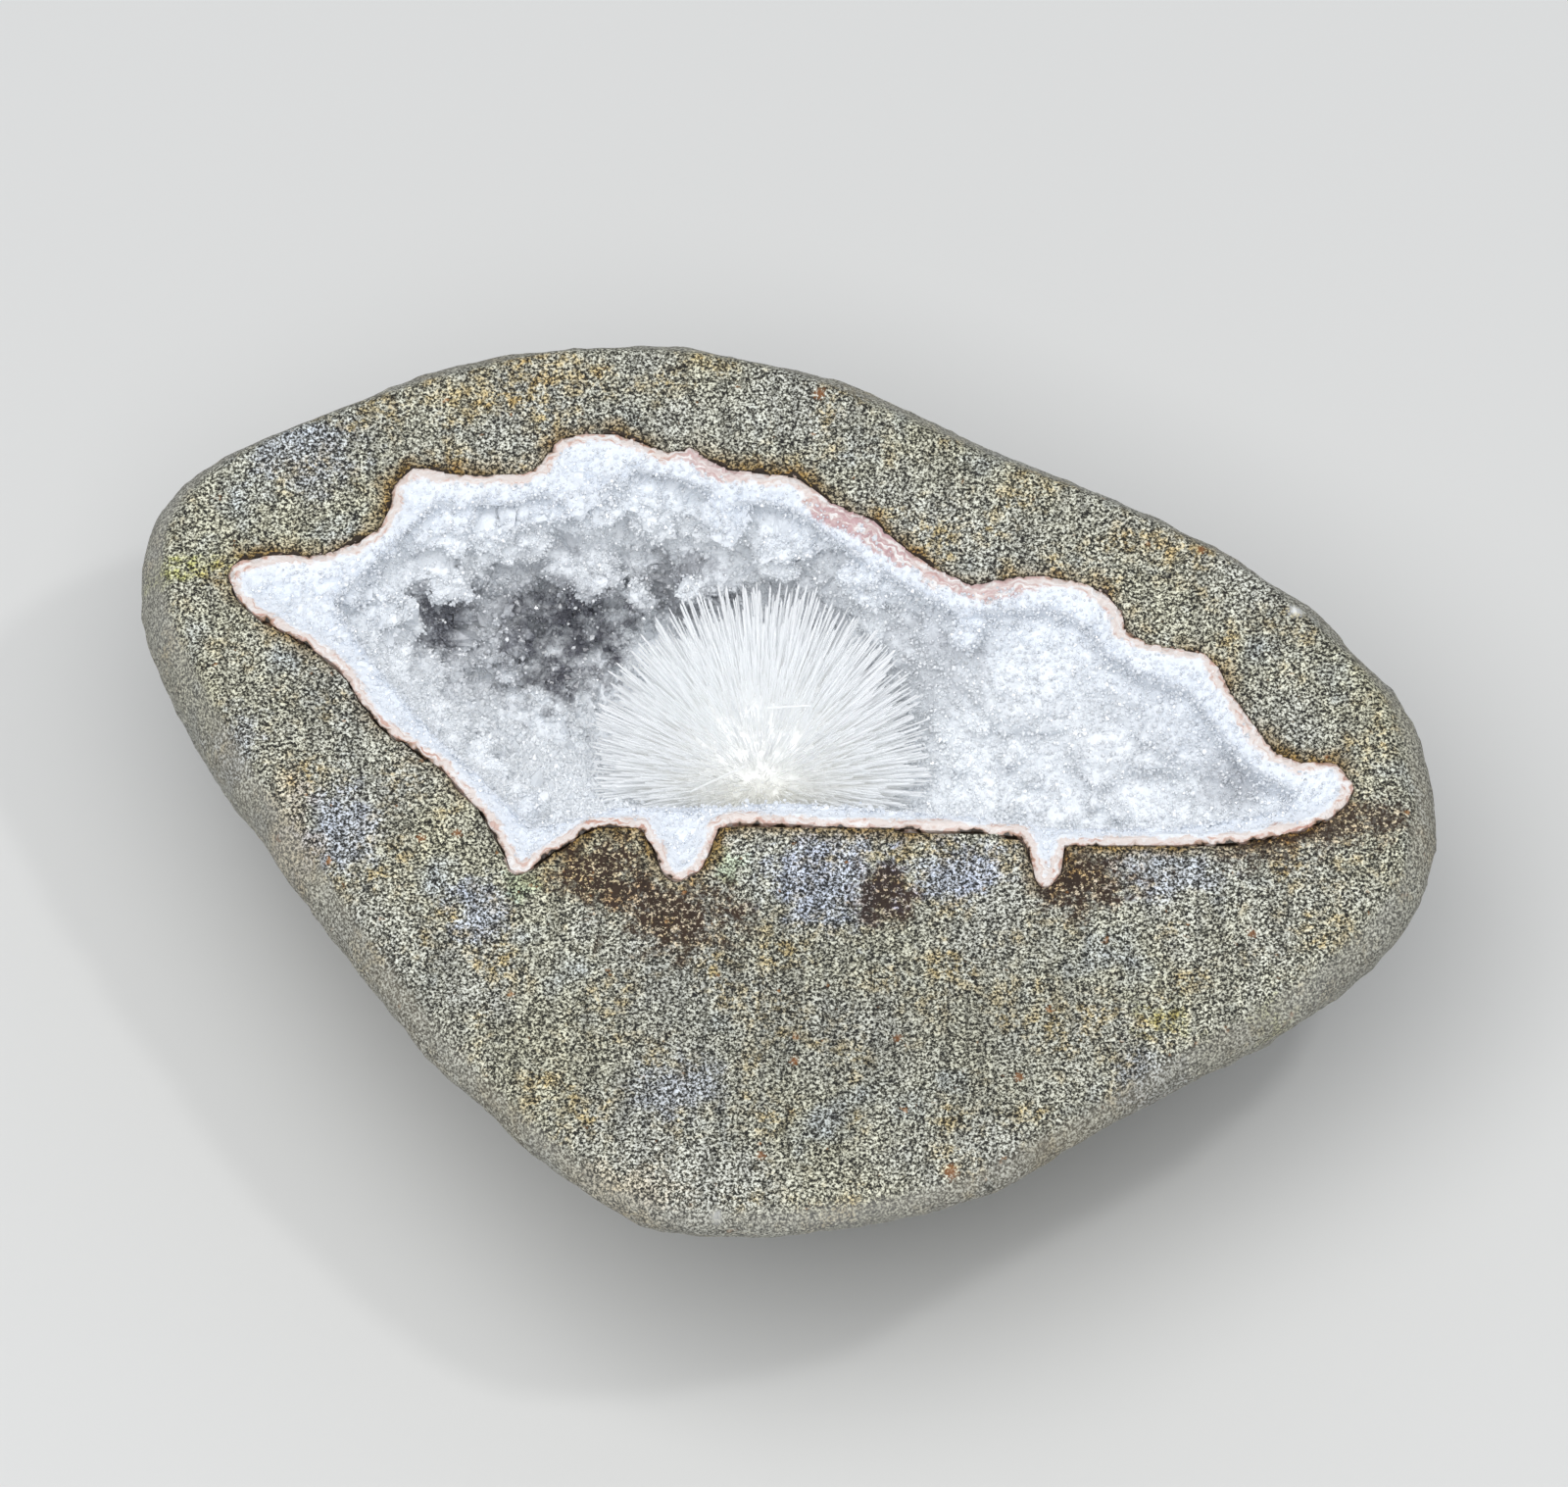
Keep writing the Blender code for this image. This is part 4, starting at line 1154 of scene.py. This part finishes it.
# Tiny black specks on the right-hand wall: the place and the half size in millimetres
SPECKS = [
    ((35.7, 7.0, -6.0), 0.22),
    ((21.9, 4.8, -6.5), 0.18),
    ((23.6, 4.4, -6.5), 0.20),
    ((24.1, 14.2, -7.0), 0.20),
    ((7.3, 0.5, -2.5), 0.35),
]


def add_glow(material, tree, shader, colour):
    """The light that the crystals pass on to one another, which rises with the depth."""
    strength = tree.ramp(tree.value_of("depth"), 4.0, 10.0, 0.0, HOLLOW_GLOW)
    tree.set(shader.inputs["Emission Color"], colour)
    tree.set(shader.inputs["Emission Strength"], strength)
    material.cycles.emission_sampling = "NONE"


def quartz_white(tree):
    """White that is greyer near the saw cut as painted shade, and turns to a cool grey in the clear
    places, partly clearer quartz and partly painted shade, with faint clouds.
    """
    depth = tree.value_of("depth")
    # painted shade and painted light: greyer near the saw cut, where the lamp falls fully, and whiter
    # deeper down, where little light reaches
    colour = tree.mix(tree.ramp(depth, 0.5, 7.0), QUARTZ_RIM_SHADE, QUARTZ_WHITE)
    cloud = tree.ramp(tree.noise(170.0, 3.0), 0.48, 0.75, 0.0, 0.15)
    colour = tree.mix(cloud, colour, QUARTZ_GREY)
    fray = fray_of(tree, 2.0)
    # painted shade: the recess and the walls under the ledges are darkened, partly as clearer quartz
    for where, half_size, strength in CLEAR_AND_SHADED_PLACES:
        mask = patch(tree, face_point(*where), half_size, fray)
        colour = tree.mix(tree.math("MULTIPLY", mask, strength), colour, QUARTZ_CLEAR_AND_SHADE)
    for where, half_size in SPECKS:
        mask = patch(tree, face_point(*where), (half_size, half_size, SPECK_DEPTH), fray)
        colour = tree.mix(mask, colour, SPECK_BLACK)
    return colour


print("the quartz has", len(CLEAR_AND_SHADED_PLACES), "clear places and", len(SPECKS), "specks")

# %% [markdown]
# The crust's own material adds the rind. Its layers are laid where the mesh is close to the basalt
# and to the saw cut, and jagged noise keeps the border between rind and quartz from being a line.

# %% Paint the crust and its rind
EVEN_RADIUS = (1.0, 1.0, 1.0)
quartz, tree, shader = new_material("quartz crust")
white = quartz_white(tree)
from_contact = tree.value_of("from_basalt")
rind_node = place_group(tree, rind_group, {"Distance": tree.math("MULTIPLY", from_contact, -1.0)})
into_basalt = rind_node.outputs["Into basalt"]
rind = rind_node.outputs["Colour"]
mauve = rind_node.outputs["Mauve"]
rind_width = tree.ramp(tree.noise(330.0, 3.0, 0.6), 0.35, 0.65, 0.60, 1.25)
rind_width = tree.math("ADD", rind_width, tree.math("MULTIPLY", mauve, 0.9))
jagged = tree.around_zero(tree.noise(1800.0, 3.0, 0.7), 1.2)
past_rind = tree.math("SUBTRACT", tree.math("ADD", from_contact, jagged), rind_width)
near_cut = tree.ramp(tree.value_of("depth"), 3.5, 2.2)
rind_mask = tree.math("MULTIPLY", tree.ramp(past_rind, 0.12, -0.16), near_cut)
colour = tree.mix(rind_mask, white, rind)
line_mask = tree.math("MULTIPLY", tree.ramp(into_basalt, -0.02, 0.06), near_cut)
colour = tree.mix(line_mask, colour, CONTACT_LINE)
tree.set(shader.inputs["Base Color"], colour)
add_glow(quartz, tree, shader, white)
set_finish(shader, {"Roughness": 0.4, "Subsurface Weight": 0.3, "Subsurface Scale": 1.0 * MM})
set_finish(shader, {"Subsurface Radius": EVEN_RADIUS})
bump_height = tree.noise(2600.0, 3.0)
bump = tree.add("ShaderNodeBump", {"Height": bump_height, "Strength": 0.8, "Distance": 0.20 * MM})
tree.set(shader.inputs["Normal"], bump)
crust.data.materials.append(quartz)
print("the crust's material has", len(tree.tree.nodes), "nodes")

# %% [markdown]
# The crystals share the quartz white and differ in polish: the sugar is frosted, the bright crystals
# are clean enough to flash, and the points let some light through.

# %% Paint the sugar, the bright crystals and the points
QUARTZ_IOR = 1.55
sugar_quartz, tree, shader = new_material("quartz sugar")
white = quartz_white(tree)
tree.set(shader.inputs["Base Color"], white)
add_glow(sugar_quartz, tree, shader, white)
set_finish(shader, {"Roughness": 0.16, "IOR": QUARTZ_IOR, "Subsurface Radius": EVEN_RADIUS})
set_finish(shader, {"Subsurface Weight": 0.5, "Subsurface Scale": 0.6 * MM})
for sugar in sugar_pieces:
    sugar.data.materials.append(sugar_quartz)

bright_quartz, tree, shader = new_material("bright quartz")
glint_white = tree.mix(tree.noise(400.0, 2.0), (1.0, 1.0, 1.0), (0.95, 0.97, 1.0))
tree.set(shader.inputs["Base Color"], glint_white)
set_finish(shader, {"Roughness": 0.06, "IOR": QUARTZ_IOR})
glints.data.materials.append(bright_quartz)

clear_quartz, tree, shader = new_material("clear quartz")
tree.set(shader.inputs["Base Color"], quartz_white(tree))
set_finish(shader, {"Roughness": 0.08, "IOR": QUARTZ_IOR, "Transmission Weight": 0.25})
points.data.materials.append(clear_quartz)
print("the crystals have", len(sugar_pieces) + 2, "meshes and 3 finishes")

# %% [markdown]
# ### Scolecite
# The needles are white and silky, and creamier towards the root and the foot. Light passes from
# one needle to the next far more often than a render follows, so a faint glow adds the rest.

# %% Paint the needles
NEEDLE_ROOT_WHITE = (0.94, 0.94, 0.91)
NEEDLE_TIP_WHITE = (0.96, 0.98, 1.0)
FOOT_CREAM = (0.92, 0.91, 0.84)
scolecite, tree, shader = new_material("scolecite needles")
from_root = tree.value_of("from_root")
white = tree.mix(tree.ramp(from_root, 9.0, 13.0), NEEDLE_ROOT_WHITE, NEEDLE_TIP_WHITE)
foot = patch(tree, face_point(-1.6, 0.6, -3.0), (10.0, 3.6, 8.0), fray_of(tree, 1.0))
white = tree.mix(tree.math("MULTIPLY", foot, 0.6), white, FOOT_CREAM)
tree.set(shader.inputs["Base Color"], white)
tree.set(shader.inputs["Emission Color"], white)
scolecite.cycles.emission_sampling = "NONE"
set_finish(shader, {"Emission Strength": 0.08, "Roughness": 0.3, "IOR": 1.52})
set_finish(shader, {"Subsurface Weight": 0.85, "Subsurface Scale": 0.6 * MM})
set_finish(shader, {"Subsurface Radius": EVEN_RADIUS})
for needles in spray_pieces:
    needles.data.materials.append(scolecite)
print("the spray has", len(spray_pieces), "meshes")

# %% [markdown]
# ## Finish
# The stone is shaded smooth, and the CAD box is printed.

# %% Smooth the stone and print the CAD box
select_only(stone)
bpy.ops.object.shade_smooth()
print("the CAD box is", [round(value / MM, 2) for value in (*cad_low, *cad_high)])
